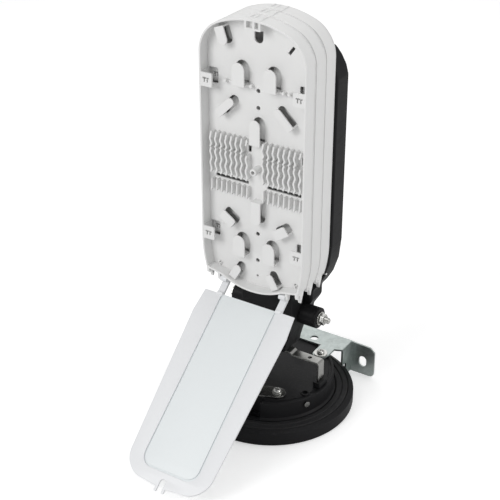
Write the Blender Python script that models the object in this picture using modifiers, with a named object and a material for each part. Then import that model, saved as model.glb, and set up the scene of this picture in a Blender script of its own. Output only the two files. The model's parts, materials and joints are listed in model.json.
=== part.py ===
"""Fiber splice closure with its dome off: base, column, tray holder and three hinged splice trays.

Run it with: blender --background --python part.py
The frame is +Z up, in metres. The origin is the centre of the base's underside, and the
trays face -Y. Every size below is a real size that can be changed by itself.
"""
import bpy
import bmesh
from math import atan2, cos, degrees, hypot, pi, radians, sin, sqrt
from mathutils import Matrix

MM = 0.001

# Fits
GAP = 0.3 * MM
WELD = 0.001 * MM
BITE = 0.6 * MM
TURN_STEPS = 48

# Base
RIM_WIDTH = 20.3 * MM
RIM_HEIGHT = 12.9 * MM
RIM_WALL = 3.8 * MM
HUB_RADIUS = 64 * MM
HUB_HEIGHT = 35 * MM
HUB_WALL = 3 * MM
HUB_TOP_WALL = 4 * MM
BOSS_RADIUS = 14 * MM
SEAT_HEIGHT = 12.6 * MM
SEAL_MARGIN = 5.4 * MM
SEAL_HEIGHT = 3.4 * MM
PORT_RADIUS = 10 * MM
PORT_WALL = 2 * MM
PORT_FOOT = 4 * MM
PORT_DEPTH = 18 * MM
PORT_PLACES = ((17 * MM, -29.4 * MM), (37 * MM, 10 * MM))
OVAL_PORT_Y = 40 * MM
OVAL_PORT_SPAN = 16 * MM
OVAL_PORT_RADIUS = 7 * MM
PLUG_FLANGE = 2.7 * MM
RECESS_WIDTH = 21 * MM
RECESS_DEPTH = 14 * MM
RECESS_WALL = 3 * MM

# Bridge strap over the base, and the screws that hold the column on it
STRAP_INSET = 6 * MM
STRAP_RISE = 25 * MM
STRAP_WIDTH = 10.5 * MM
STRAP_THICKNESS = 2 * MM
STRAP_STEP = 2 * MM
STRAP_STEP_X = 26.5 * MM
STRAP_HOLE_X = 44.9 * MM
STRAP_HOLE_RADIUS = 2.2 * MM
LEG_DEPTH = 6 * MM
POST_SCREW_X = 11 * MM

# Column
POST_HALF_WIDTH = 28.5 * MM
POST_FOOT_HALF_WIDTH = 21.5 * MM
POST_FRONT_Y = -10 * MM
POST_DEPTH = 24 * MM
POST_HEIGHT = 66 * MM
POST_FLARE_HEIGHT = 36 * MM
CLAMP_HEIGHT = 37.7 * MM
CLAMP_Y = 12 * MM

# Clamp bolt
CLAMP_SHANK_RADIUS = 3 * MM
CLAMP_BOSS_RADIUS = 10.5 * MM
CLAMP_BOSS_END = 48 * MM
CLAMP_TAIL = 10.5 * MM
CLAMP_NUT_RADIUS = 5.8 * MM
CLAMP_NUT_THICKNESS = 4.6 * MM
CLAMP_WASHER_RADIUS = 7 * MM

# Splice trays
TRAY_HALF_WIDTH = 55 * MM
TRAY_LENGTH = 262 * MM
TRAY_DEPTH = 17 * MM
TRAY_FOOT_Z = 76.7 * MM
TRAY_BACK_Y = 14.2 * MM
TRAY_WALL = 2 * MM
TRAY_FLOOR = 1.8 * MM
TRAY_FLOOR_Y = 11.7 * MM
TRAY_TOP_RADIUS = 95 * MM
TRAY_CORNER_RADIUS = 34 * MM
TRAY_SIDE_START = 45 * MM
TRAY_LOW_HALF_WIDTH = 50.5 * MM
TRAY_LOW_CORNER_Z = 12 * MM
TRAY_CHIN_HALF_WIDTH = 33 * MM
TRAY_CHIN_RISE = 8.5 * MM

# Tongues that hold the fibre loops down
TONGUE_Y = 1.2 * MM
TONGUE_THICKNESS = 1.6 * MM
TONGUE_WIDTH = 13.2 * MM
TONGUE_LENGTH = 21.5 * MM
SLANT_TONGUE_WIDTH = 8 * MM
SLOT_MARGIN = 0.5 * MM

# Sleeve combs
COMB_INNER_X = 11.2 * MM
COMB_PITCH = 4.8 * MM
COMB_RIBS = 8
COMB_RIB = 1.3 * MM
COMB_RIB_HEIGHT = 6 * MM
COMB_LOW_Z = 92 * MM
COMB_SPLIT_Z = 108 * MM
COMB_TOP_Z = 150 * MM
COMB_SLIT = 2.2 * MM
COMB_SWAY = 1.0 * MM

# Tray hinges: jaws at the front of a tray, arms with pins at the back of the next one
HINGE_INSET = 3.7 * MM
HINGE_RISE = 8.5 * MM
HINGE_PIN_RADIUS = 1.2 * MM
JAW_INNER_X = 47.5 * MM
JAW_WIDTH = 3 * MM
ARM_WIDTH = 3.1 * MM
EYE_RADIUS = 1.8 * MM
HEEL_RELIEF = 1.6 * MM
HEEL_MARGIN = 2 * MM

# Lid
LID_LENGTH = 191 * MM
LID_TOP_HALF_WIDTH = 52 * MM
LID_FAR_HALF_WIDTH = 45.5 * MM
LID_THICKNESS = 2 * MM
LID_PANEL_STEP = 0.5 * MM
LID_PANEL_HALF_WIDTH = 30.5 * MM
LID_CORNER_RADIUS = 24 * MM
LID_CROWN = 1.5 * MM
LID_CHAMFER_RUN = 22 * MM
LID_CHAMFER = 2.2 * MM
LID_OPEN_ANGLE = 128.3
LID_EDGE_DROP = 14.2 * MM
LID_STANDOFF = 4.87 * MM
LID_PIN_INSET = 4.2 * MM
LID_PIN_RISE = 3.2 * MM
LID_PIN_RADIUS = 1.2 * MM
LID_ARM_X = 32.5 * MM
LID_ARM_WIDTH = 6.6 * MM
LID_HOOK_WALL = 1.3 * MM
LID_LUG = 2.5 * MM
LID_CATCH_HALF_WIDTH = 5.5 * MM
LID_CATCH_REACH = 4.2 * MM
LID_CATCH_SLOT = 5.4 * MM

# Tray holder
HOLDER_DEPTH = 22 * MM
HOLDER_HALF_WIDTH = 55.5 * MM
HOLDER_TOP_Z = 242 * MM
HOLDER_SHOULDER_Z = 207 * MM
HOLDER_SHOULDER_X = 41.7 * MM
HOLDER_SHOULDER_TOP_Z = 231 * MM
HOLDER_HIP_Z = 42 * MM
HOLDER_NECK_HALF_WIDTH = 37 * MM
HOLDER_NECK_Z = -14 * MM
HOLDER_WALL = 3.5 * MM
HOLDER_FACE = 3 * MM
HOLDER_RIB = 2.4 * MM
HOLDER_RIBS = 4

# Wall bracket
BRACKET_THICKNESS = 2 * MM
BRACKET_HALF_SPAN = 48.8 * MM
BRACKET_FRONT_Y = 59 * MM
BRACKET_TAB_RADIUS = 8 * MM
BRACKET_BOLT_X = 32.7 * MM
BRACKET_BOLT_INSET = 19.7 * MM
BRACKET_HOLE_X = 12.5 * MM
BRACKET_HOLE_Y = 67 * MM
BRACKET_HOLE_RADIUS = 4.2 * MM
BRACKET_BEND = 0.5 * MM
EAR_WIDTH = 26.8 * MM
EAR_FOOT_Z = 1 * MM
EAR_CORNER = 6 * MM
EAR_HOLE_HALF_WIDTH = 4.3 * MM
EAR_HOLE_HEIGHT = 12.5 * MM
EAR_HOLE_Z = 16.6 * MM
FLANGE_FOOT_Z = 17 * MM

# Strip that clamps the cables' strength members
STRIP_THICKNESS = 1.5 * MM
STRIP_RADIUS = 8.5 * MM
STRIP_SIDE_INSET = 34 * MM
STRIP_FRONT_INSET = 27 * MM
STRIP_LENGTH = 46 * MM
STRIP_ANGLE = 199.6

# Small screws and washers
SCREW_RADIUS = 2 * MM
SCREW_HEAD_RADIUS = 3.9 * MM
SCREW_HEAD = 2.6 * MM
SCREW_BITE = 6 * MM
WASHER_RADIUS = 5 * MM
WASHER_THICKNESS = 1 * MM
EARTH_SCREW_ANGLE = -26
EARTH_SCREW_Z = 28.5 * MM
EARTH_BOSS_RADIUS = 4.5 * MM
EARTH_SIDE_INSET = 11.4 * MM
EARTH_FRONT_INSET = 42.2 * MM

# Levels and planes that follow from the sizes above
STRAP_TOP = HUB_HEIGHT + STRAP_RISE + STRAP_THICKNESS
POST_Z = STRAP_TOP + STRAP_STEP + GAP
CLAMP_Z = POST_Z + CLAMP_HEIGHT
TRAY_Z = POST_Z + TRAY_FOOT_Z
TRAY_PITCH = TRAY_DEPTH + GAP
HOLDER_FRONT_Y = TRAY_BACK_Y + GAP
BRACKET_Z = HUB_HEIGHT + GAP
RIM_RADIUS = HUB_RADIUS + RIM_WIDTH
SEAL_OUTER = RIM_RADIUS - SEAL_MARGIN
RECESS_BACK_Y = RECESS_DEPTH - HUB_RADIUS
STRAP_SPAN = HUB_RADIUS - STRAP_INSET
BRACKET_BACK_Y = RIM_RADIUS
BRACKET_BOLT_Y = HUB_RADIUS - BRACKET_BOLT_INSET
STRIP_RIGHT = (HUB_RADIUS - STRIP_SIDE_INSET, STRIP_FRONT_INSET - HUB_RADIUS)
EARTH_BOSS_AT = (HUB_RADIUS - EARTH_SIDE_INSET, EARTH_FRONT_INSET - HUB_RADIUS)


def clear_scene():
    for thing in list(bpy.data.objects):
        bpy.data.objects.remove(thing, do_unlink=True)


def collection(name):
    made = bpy.data.collections.new(name)
    bpy.context.scene.collection.children.link(made)
    return made


def plastic(name, color, roughness):
    return finish(name, color, roughness, 0.0)


def finish(name, color, roughness, metallic):
    made = bpy.data.materials.new(name)
    made.use_nodes = True
    shader = made.node_tree.nodes["Principled BSDF"]
    shader.inputs["Base Color"].default_value = (*color, 1)
    shader.inputs["Roughness"].default_value = roughness
    shader.inputs["Metallic"].default_value = metallic
    return made


# Outlines are lists of points, and an arc adds its points to them

def arc(center, radius, start, end, steps):
    turns = [radians(start + (end - start) * i / steps) for i in range(steps + 1)]
    return [(center[0] + radius * cos(a), center[1] + radius * sin(a)) for a in turns]


def mirrored(half):
    """The outline whose right half runs from the bottom centre to the top centre."""
    left = [(-x, y) for x, y in reversed(half) if x > WELD]
    return half + left


def box_outline(low, high):
    return [(low[0], low[1]), (high[0], low[1]), (high[0], high[1]), (low[0], high[1])]


def inset(points, distance):
    """The outline moved inwards by the same distance on every side."""
    moved = []
    count = len(points)
    for i, point in enumerate(points):
        normals = []
        for a, b in ((points[i - 1], point), (point, points[(i + 1) % count])):
            length = hypot(b[0] - a[0], b[1] - a[1])
            normals.append(((a[1] - b[1]) / length, (b[0] - a[0]) / length))
        (ax, ay), (bx, by) = normals
        share = distance / (1 + ax * bx + ay * by)
        moved.append((point[0] + (ax + bx) * share, point[1] + (ay + by) * share))
    return moved


# Solids: a flat outline made thick, a turned profile, and joins and cuts of these

PLANES = {
    "XY": Matrix(((1, 0, 0), (0, 1, 0), (0, 0, 1))).to_4x4(),
    "XZ": Matrix(((1, 0, 0), (0, 0, -1), (0, 1, 0))).to_4x4(),
    "YZ": Matrix(((0, 0, 1), (1, 0, 0), (0, 1, 0))).to_4x4(),
}
NORMALS = {"XY": (0, 0, 1), "XZ": (0, 1, 0), "YZ": (1, 0, 0)}


def taken(thing):
    """Turns an object, with its modifiers, into a plain mesh object and removes the first."""
    graph = bpy.context.evaluated_depsgraph_get()
    graph.update()
    mesh = bpy.data.meshes.new_from_object(thing.evaluated_get(graph))
    mesh.transform(thing.matrix_world)
    shape = bmesh.new()
    shape.from_mesh(mesh)
    bmesh.ops.remove_doubles(shape, verts=shape.verts, dist=WELD)
    bmesh.ops.dissolve_limit(shape, angle_limit=radians(0.05), verts=shape.verts, edges=shape.edges)
    shape.to_mesh(mesh)
    shape.free()
    bpy.data.objects.remove(thing, do_unlink=True)
    solid = bpy.data.objects.new("solid", mesh)
    bpy.context.scene.collection.objects.link(solid)
    return solid


def slab(outline, low, high, plane="XY"):
    """An outline in one of the planes, made solid from low to high across it."""
    curve = bpy.data.curves.new("outline", "CURVE")
    curve.dimensions = "2D"
    curve.fill_mode = "BOTH"
    curve.extrude = (high - low) / 2
    line = curve.splines.new("POLY")
    line.points.add(len(outline) - 1)
    for point, (x, y) in zip(line.points, outline):
        point.co = (x, y, 0, 1)
    line.use_cyclic_u = True
    thing = bpy.data.objects.new("outline", curve)
    bpy.context.scene.collection.objects.link(thing)
    middle = (high + low) / 2
    shift = [middle * n for n in NORMALS[plane]]
    thing.matrix_world = Matrix.Translation(shift) @ PLANES[plane]
    bpy.context.view_layer.update()
    return taken(thing)


def round_bar(center, radius, low, high, plane="XY", sides=16):
    """A cylinder across the plane, with its centre given in that plane."""
    mesh = bpy.data.meshes.new("bar")
    shape = bmesh.new()
    bmesh.ops.create_cone(shape, cap_ends=True, segments=sides, radius1=radius, radius2=radius,
                          depth=high - low)
    shape.to_mesh(mesh)
    shape.free()
    mesh.transform(PLANES[plane] @ Matrix.Translation((center[0], center[1], 0)))
    middle = (high + low) / 2
    mesh.transform(Matrix.Translation([middle * n for n in NORMALS[plane]]))
    bar = bpy.data.objects.new("bar", mesh)
    bpy.context.scene.collection.objects.link(bar)
    return bar


def turned_solid(profile, steps=64):
    """A profile of (radius, height) points, top to bottom down its outer side, turned about Z."""
    mesh = bpy.data.meshes.new("profile")
    shape = bmesh.new()
    points = [shape.verts.new((r, 0, z)) for r, z in profile]
    for a, b in zip(points, points[1:]):
        shape.edges.new((a, b))
    if profile[0][0] > WELD:
        shape.edges.new((points[-1], points[0]))
    shape.to_mesh(mesh)
    shape.free()
    thing = bpy.data.objects.new("profile", mesh)
    bpy.context.scene.collection.objects.link(thing)
    screw = thing.modifiers.new("turn", "SCREW")
    screw.steps = steps
    screw.render_steps = steps
    screw.use_merge_vertices = True
    screw.merge_threshold = WELD
    bpy.context.view_layer.update()
    return taken(thing)


def combined(body, tools, operation):
    group = bpy.data.collections.new("tools")
    for tool in tools:
        group.objects.link(tool)
    change = body.modifiers.new("tools", "BOOLEAN")
    change.operation = operation
    change.operand_type = "COLLECTION"
    change.collection = group
    change.solver = "EXACT"
    bpy.context.view_layer.update()
    solid = taken(body)
    for tool in tools:
        bpy.data.objects.remove(tool, do_unlink=True)
    bpy.data.collections.remove(group)
    return solid


def cut(body, tools):
    return combined(body, tools, "DIFFERENCE")


def join(body, tools):
    return combined(body, tools, "UNION")


def rounded(body, width, segments=2):
    bevel = body.modifiers.new("edges", "BEVEL")
    bevel.width = width
    bevel.segments = segments
    bevel.limit_method = "ANGLE"
    bevel.angle_limit = radians(50)
    bpy.context.view_layer.update()
    return taken(body)


def moved(solid, x=0.0, y=0.0, z=0.0):
    solid.data.transform(Matrix.Translation((x, y, z)))
    return solid


def named(solid, name, look, place=(0, 0, 0), smooth=30):
    """Names a finished solid, sets its origin to a place in the world, and gives its material."""
    solid.name = name
    solid.data.name = name
    solid.data.transform(Matrix.Translation([-value for value in place]))
    solid.location = place
    solid.data.materials.clear()
    solid.data.materials.append(look)
    solid.data.shade_smooth()
    solid.data.set_sharp_from_angle(angle=radians(smooth))
    bpy.context.scene.collection.objects.unlink(solid)
    PARTS.objects.link(solid)
    return solid


# Base and what sits in it

def port_places():
    return [(side * x, y) for x, y in PORT_PLACES for side in (-1, 1)]


def oval(radius):
    right = arc((OVAL_PORT_SPAN - OVAL_PORT_RADIUS, OVAL_PORT_Y), radius, -90, 90, 8)
    left = arc((OVAL_PORT_RADIUS - OVAL_PORT_SPAN, OVAL_PORT_Y), radius, 90, 270, 8)
    return right + left


def hub_screw_places():
    strip_end = strip_left_end()
    bolts = [(side * BRACKET_BOLT_X, BRACKET_BOLT_Y) for side in (-1, 1)]
    return [STRIP_RIGHT, strip_end] + bolts


def strip_left_end():
    a = radians(STRIP_ANGLE)
    return STRIP_RIGHT[0] + STRIP_LENGTH * cos(a), STRIP_RIGHT[1] + STRIP_LENGTH * sin(a)


def base_shell():
    under_top = HUB_HEIGHT - HUB_TOP_WALL
    inside = HUB_RADIUS - HUB_WALL
    edge = 0.8 * MM
    groove = HUB_RADIUS - 4 * MM
    foot = HUB_RADIUS + 2 * MM
    profile = [
        (0, HUB_HEIGHT), (groove - 1.5 * MM, HUB_HEIGHT), (groove - 1.1 * MM, HUB_HEIGHT - edge),
        (groove + 1.1 * MM, HUB_HEIGHT - edge), (groove + 1.5 * MM, HUB_HEIGHT),
        (HUB_RADIUS - edge, HUB_HEIGHT), (HUB_RADIUS, HUB_HEIGHT - edge),
        (HUB_RADIUS, SEAT_HEIGHT + 5.4 * MM), (foot, SEAT_HEIGHT + 3.4 * MM), (foot, SEAT_HEIGHT),
        (SEAL_OUTER, SEAT_HEIGHT), (SEAL_OUTER, SEAT_HEIGHT + SEAL_HEIGHT - 0.3 * MM),
    ]
    profile += [(RIM_RADIUS - 0.9 * MM, RIM_HEIGHT + 0.4 * MM), (RIM_RADIUS, RIM_HEIGHT - 0.6 * MM)]
    profile += [(RIM_RADIUS, 1.6 * MM), (RIM_RADIUS - 0.5 * MM, 0.5 * MM), (RIM_RADIUS - 1.6 * MM, 0)]
    profile += [(RIM_RADIUS - RIM_WALL, 0), (RIM_RADIUS - RIM_WALL, SEAT_HEIGHT - HUB_WALL),
                (inside, SEAT_HEIGHT - HUB_WALL), (inside, under_top),
                (BOSS_RADIUS, under_top), (BOSS_RADIUS, 0), (0, 0)]
    return turned_solid(profile, TURN_STEPS)


def base():
    body = base_shell()
    under_top = HUB_HEIGHT - HUB_TOP_WALL
    outer = PORT_RADIUS + PORT_WALL
    adds = [round_bar(p, outer, PORT_FOOT, under_top + BITE, sides=24) for p in port_places()]
    adds.append(slab(oval(OVAL_PORT_RADIUS + PORT_WALL), PORT_FOOT, under_top + BITE))
    adds += [round_bar(p, SCREW_RADIUS + 3 * MM, under_top - SCREW_BITE, under_top + BITE)
             for p in hub_screw_places()]
    recess_x = RECESS_WIDTH + RECESS_WALL
    chute_front = -sqrt((HUB_RADIUS - HUB_WALL / 2) ** 2 - recess_x ** 2)
    adds.append(slab(box_outline((-RECESS_WALL, chute_front), (recess_x, RECESS_BACK_Y + RECESS_WALL)),
                     SEAT_HEIGHT - HUB_WALL / 2, under_top + BITE))
    adds.append(round_bar(EARTH_BOSS_AT, EARTH_BOSS_RADIUS, HUB_HEIGHT - BITE, HUB_HEIGHT + 1 * MM))
    body = join(body, adds)
    port_top = PORT_FOOT + PORT_DEPTH
    cuts = [round_bar(p, PORT_RADIUS, -1 * MM, port_top, sides=24) for p in port_places()]
    cuts.append(slab(oval(OVAL_PORT_RADIUS), -1 * MM, port_top))
    cuts.append(slab(box_outline((0, -RIM_RADIUS), (RECESS_WIDTH, RECESS_BACK_Y)),
                     SEAT_HEIGHT + 3.6 * MM, HUB_HEIGHT + 5 * MM))
    cuts += [round_bar(p, SCREW_RADIUS + GAP, under_top - 2 * MM, HUB_HEIGHT + 5 * MM, sides=12)
             for p in hub_screw_places()]
    cuts.append(round_bar(EARTH_BOSS_AT, EARTH_BOSS_RADIUS - 1.6 * MM, HUB_HEIGHT - 1 * MM,
                          HUB_HEIGHT + 5 * MM, sides=12))
    for side in (-1, 1):
        leg = [side * (STRAP_SPAN - STRAP_THICKNESS - GAP), side * (STRAP_SPAN + GAP)]
        half = STRAP_WIDTH / 2 + GAP
        cuts.append(slab(box_outline((min(leg), -half), (max(leg), half)),
                         under_top - 2 * MM, HUB_HEIGHT + 5 * MM))
    cuts.append(earth_screw_bar(SCREW_RADIUS + GAP, -SCREW_BITE - 3 * MM, 4 * MM))
    named(cut(body, cuts), "base", BLACK)


def earth_screw_bar(radius, inner, outer, sides=12):
    """A bar along the radius of the hub, at the small screw in its wall."""
    bar = round_bar((0, EARTH_SCREW_Z), radius, HUB_RADIUS + inner, HUB_RADIUS + outer, "YZ", sides)
    bar.data.transform(Matrix.Rotation(radians(EARTH_SCREW_ANGLE), 4, "Z"))
    return bar


def seal_ring():
    inner = HUB_RADIUS + 2 * MM + GAP
    low = SEAT_HEIGHT + GAP
    high = SEAT_HEIGHT + SEAL_HEIGHT
    edge = 0.7 * MM
    outer = SEAL_OUTER - GAP
    middle = (inner + outer) / 2
    profile = [(middle, high - edge), (middle + edge, high), (outer - edge, high), (outer, high - edge),
               (outer, low), (inner, low), (inner, high - edge), (inner + edge, high),
               (middle - edge, high)]
    named(turned_solid(profile, TURN_STEPS), "seal_ring", RUBBER)


def port_plugs():
    top = PORT_FOOT + PORT_DEPTH - 3 * MM
    low = PORT_FOOT - GAP - PLUG_FLANGE
    for number, place in enumerate(port_places(), start=1):
        radius = PORT_RADIUS - GAP
        flange = PORT_RADIUS + PORT_WALL
        profile = [(0, top), (radius - 1 * MM, top), (radius, top - 2 * MM), (radius, PORT_FOOT - GAP),
                   (flange, PORT_FOOT - GAP), (flange, low + 0.8 * MM), (flange - 0.8 * MM, low),
                   (0, low)]
        plug = moved(turned_solid(profile, 24), place[0], place[1])
        named(plug, f"port_plug_{number}", RUBBER, (place[0], place[1], PORT_FOOT))
    flange = slab(oval(OVAL_PORT_RADIUS + PORT_WALL), low, PORT_FOOT - GAP)
    stem = slab(oval(OVAL_PORT_RADIUS - GAP), low + BITE, top)
    named(join(flange, [stem]), "oval_port_plug", RUBBER, (0, OVAL_PORT_Y, PORT_FOOT))


# Steelwork on the base

def bridge_strap():
    """One bent strip: two legs in the hub, and a raised middle that carries the column."""
    t = STRAP_THICKNESS
    foot = HUB_HEIGHT - LEG_DEPTH
    bend = 1.6 * MM
    step = STRAP_STEP
    top = STRAP_TOP
    x = STRAP_SPAN
    right = [(0, top + step - t), (STRAP_STEP_X - step, top + step - t), (STRAP_STEP_X, top - t)]
    right += [(x - t, top - t), (x - t, foot), (x, foot)]
    right += arc((x - bend, top - bend), bend, 0, 90, 3)
    right += [(STRAP_STEP_X + t / 2, top), (STRAP_STEP_X - step + t / 2, top + step), (0, top + step)]
    strap = slab(mirrored(right), -STRAP_WIDTH / 2, STRAP_WIDTH / 2, "XZ")
    holes = [round_bar((side * STRAP_HOLE_X, 0), STRAP_HOLE_RADIUS, top - 4 * MM, top + 4 * MM)
             for side in (-1, 1)]
    holes += [round_bar((side * POST_SCREW_X, 0), SCREW_RADIUS + GAP, top - 4 * MM, top + 4 * MM)
              for side in (-1, 1)]
    named(cut(strap, holes), "bridge_strap", STEEL, (0, 0, STRAP_TOP))


def pan_screw(length):
    """A pan-head screw that points down, with the seat of its head at z = 0."""
    head = SCREW_HEAD_RADIUS
    profile = [(0, SCREW_HEAD), (head * 0.55, SCREW_HEAD), (head * 0.85, SCREW_HEAD * 0.75),
               (head, SCREW_HEAD * 0.4), (head, 0), (SCREW_RADIUS, 0), (SCREW_RADIUS, -length + 1 * MM),
               (SCREW_RADIUS - 0.8 * MM, -length), (0, -length)]
    body = turned_solid(profile, 16)
    cross = [slab(box_outline((-2.2 * MM, -0.4 * MM), (2.2 * MM, 0.4 * MM)), SCREW_HEAD - 1 * MM,
                  SCREW_HEAD + 1 * MM),
             slab(box_outline((-0.4 * MM, -2.2 * MM), (0.4 * MM, 2.2 * MM)), SCREW_HEAD - 1 * MM,
                  SCREW_HEAD + 1 * MM)]
    return cut(body, cross)


def washer(inner, outer, thickness, sides=24):
    return turned_solid([(inner, thickness), (outer, thickness), (outer, 0), (inner, 0)], sides)


def post_screws():
    seat = STRAP_TOP + STRAP_STEP - STRAP_THICKNESS - GAP
    for side, word in ((-1, "left"), (1, "right")):
        screw = pan_screw(STRAP_THICKNESS + SCREW_BITE + 2 * MM)
        screw.data.transform(Matrix.Rotation(pi, 4, "X"))
        moved(screw, side * POST_SCREW_X, 0, seat)
        named(screw, f"post_screw_{word}", STEEL, (side * POST_SCREW_X, 0, seat))


def strength_strip():
    left = strip_left_end()
    outline = arc(STRIP_RIGHT, STRIP_RADIUS, STRIP_ANGLE - 270, STRIP_ANGLE - 90, 10)
    outline += arc(left, STRIP_RADIUS, STRIP_ANGLE - 90, STRIP_ANGLE + 90, 10)
    low = HUB_HEIGHT + GAP
    strip = slab(outline, low, low + STRIP_THICKNESS)
    holes = [round_bar(p, SCREW_RADIUS + GAP, low - 1 * MM, low + 4 * MM, sides=12)
             for p in (STRIP_RIGHT, left)]
    named(cut(strip, holes), "strength_strip", STEEL, (*STRIP_RIGHT, low))
    for place, word in ((STRIP_RIGHT, "right"), (left, "left")):
        seat = low + STRIP_THICKNESS + GAP
        ring = moved(washer(SCREW_RADIUS + GAP, WASHER_RADIUS, WASHER_THICKNESS), *place, seat)
        named(ring, f"strip_washer_{word}", STEEL, (*place, seat))
        seat += WASHER_THICKNESS + GAP
        screw = moved(pan_screw(SCREW_BITE + STRIP_THICKNESS), *place, seat)
        named(screw, f"strip_screw_{word}", STEEL, (*place, seat))


def earth_screw():
    shank = earth_screw_bar(SCREW_RADIUS, -SCREW_BITE, GAP + BITE)
    head = earth_screw_bar(SCREW_HEAD_RADIUS * 0.8, GAP, GAP + 2 * MM, 16)
    named(join(head, [shank]), "earth_screw", STEEL, (0, 0, EARTH_SCREW_Z))


def ear_outline(side):
    """The ear in the XZ plane, outside the flange, with its outer corners cut and rounded."""
    inner = BRACKET_HALF_SPAN - BRACKET_THICKNESS + BRACKET_BEND
    outer = BRACKET_HALF_SPAN + EAR_WIDTH
    top = BRACKET_Z + BRACKET_THICKNESS - BRACKET_BEND
    c = EAR_CORNER
    points = [(inner, EAR_FOOT_Z)] + arc((outer - c * 0.8, EAR_FOOT_Z + c * 0.8), c * 0.8, -90, 0, 4)
    points += [(outer, top - c), (outer - c * 0.9, top - 1 * MM), (inner, top)]
    if side > 0:
        return points
    return [(-x, z) for x, z in reversed(points)]


def wall_bracket():
    """One folded sheet: a plate on the hub, a flange down each side, and an ear on each flange."""
    t = BRACKET_THICKNESS
    low = BRACKET_Z
    bend = BRACKET_BEND
    half = BRACKET_HALF_SPAN
    right = [(0, BRACKET_FRONT_Y), (BRACKET_BOLT_X - BRACKET_TAB_RADIUS, BRACKET_FRONT_Y)]
    right += arc((BRACKET_BOLT_X, BRACKET_BOLT_Y), BRACKET_TAB_RADIUS, 180, 360, 8)
    right += [(BRACKET_BOLT_X + BRACKET_TAB_RADIUS, BRACKET_FRONT_Y)]
    right += [(half - bend, BRACKET_FRONT_Y + 3 * MM), (half - bend, BRACKET_BACK_Y - bend)]
    right += [(0, BRACKET_BACK_Y - bend)]
    plate = slab(mirrored(right), low, low + t)
    rim_clear = RIM_RADIUS + 4 * GAP
    rear = max(sqrt(rim_clear ** 2 - (half - t) ** 2), BRACKET_FRONT_Y + 6 * MM)
    adds = []
    for side in (-1, 1):
        fold = BRACKET_BACK_Y - bend
        flange = [(BRACKET_FRONT_Y + 4 * MM, low + t - bend), (BRACKET_FRONT_Y + 4 * MM, FLANGE_FOOT_Z),
                  (rear, FLANGE_FOOT_Z), (rear, EAR_FOOT_Z + bend), (fold, EAR_FOOT_Z + bend),
                  (fold, low + t - bend)]
        span = sorted((side * half, side * (half - t)))
        adds.append(slab(flange, span[0], span[1], "YZ"))
        adds.append(slab(ear_outline(side), BRACKET_BACK_Y - t, BRACKET_BACK_Y, "XZ"))
    body = join(plate, adds)
    cuts = [round_bar((side * BRACKET_HOLE_X, BRACKET_HOLE_Y), BRACKET_HOLE_RADIUS, low - 1 * MM,
                      low + 4 * MM) for side in (-1, 1)]
    cuts += [round_bar((side * BRACKET_BOLT_X, BRACKET_BOLT_Y), SCREW_RADIUS + GAP, low - 1 * MM,
                       low + 4 * MM, sides=12) for side in (-1, 1)]
    r = EAR_HOLE_HALF_WIDTH
    rise = EAR_HOLE_HEIGHT / 2 - r
    for side in (-1, 1):
        x = side * (half + EAR_WIDTH / 2)
        oblong = arc((x, EAR_HOLE_Z + rise), r, 0, 180, 8) + arc((x, EAR_HOLE_Z - rise), r, 180, 360, 8)
        cuts.append(slab(oblong, BRACKET_BACK_Y - 2 * t, BRACKET_BACK_Y + t, "XZ"))
    named(cut(body, cuts), "wall_bracket", GALVANISED, (0, BRACKET_BACK_Y, BRACKET_Z))
    for side, word in ((-1, "left"), (1, "right")):
        place = (side * BRACKET_BOLT_X, BRACKET_BOLT_Y)
        seat = low + t + GAP
        ring = moved(washer(SCREW_RADIUS + GAP, CLAMP_WASHER_RADIUS, WASHER_THICKNESS), *place, seat)
        named(ring, f"bracket_washer_{word}", STEEL, (*place, seat))
        seat += WASHER_THICKNESS + GAP
        screw = moved(pan_screw(SCREW_BITE + t), *place, seat)
        named(screw, f"bracket_screw_{word}", STEEL, (*place, seat))


# Column, clamp bolt and tray holder

def support_post():
    """The column: straight above, drawn in at its foot to the width of the strap's raised middle."""
    wide = POST_HALF_WIDTH
    foot = POST_FOOT_HALF_WIDTH
    flare = [(foot + (wide - foot) * sin(radians(90 * i / 6)) ** 1.5,
              POST_Z + 1 * MM + (POST_FLARE_HEIGHT - 1 * MM) * i / 6) for i in range(7)]
    right = [(0, POST_Z), (foot - 1 * MM, POST_Z)] + flare
    right += [(wide, POST_Z + POST_HEIGHT), (0, POST_Z + POST_HEIGHT)]
    back = POST_FRONT_Y + POST_DEPTH
    post = slab(mirrored(right), POST_FRONT_Y, back, "XZ")
    post = rounded(post, 1.6 * MM)
    top = POST_Z + POST_HEIGHT
    wall = 4 * MM
    pocket = slab(box_outline((wall - wide, POST_FRONT_Y + wall), (wide - wall, back - wall)),
                  CLAMP_Z + CLAMP_BOSS_RADIUS, top + 5 * MM)
    cuts = [pocket, round_bar((CLAMP_Y, CLAMP_Z), CLAMP_SHANK_RADIUS + GAP, -2 * wide, 2 * wide, "YZ")]
    cuts += [round_bar((side * POST_SCREW_X, 0), SCREW_RADIUS + GAP, POST_Z - 1 * MM,
                       POST_Z + SCREW_BITE + 3 * MM, sides=12) for side in (-1, 1)]
    named(cut(post, cuts), "support_post", BLACK, (0, 0, POST_Z))


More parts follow.
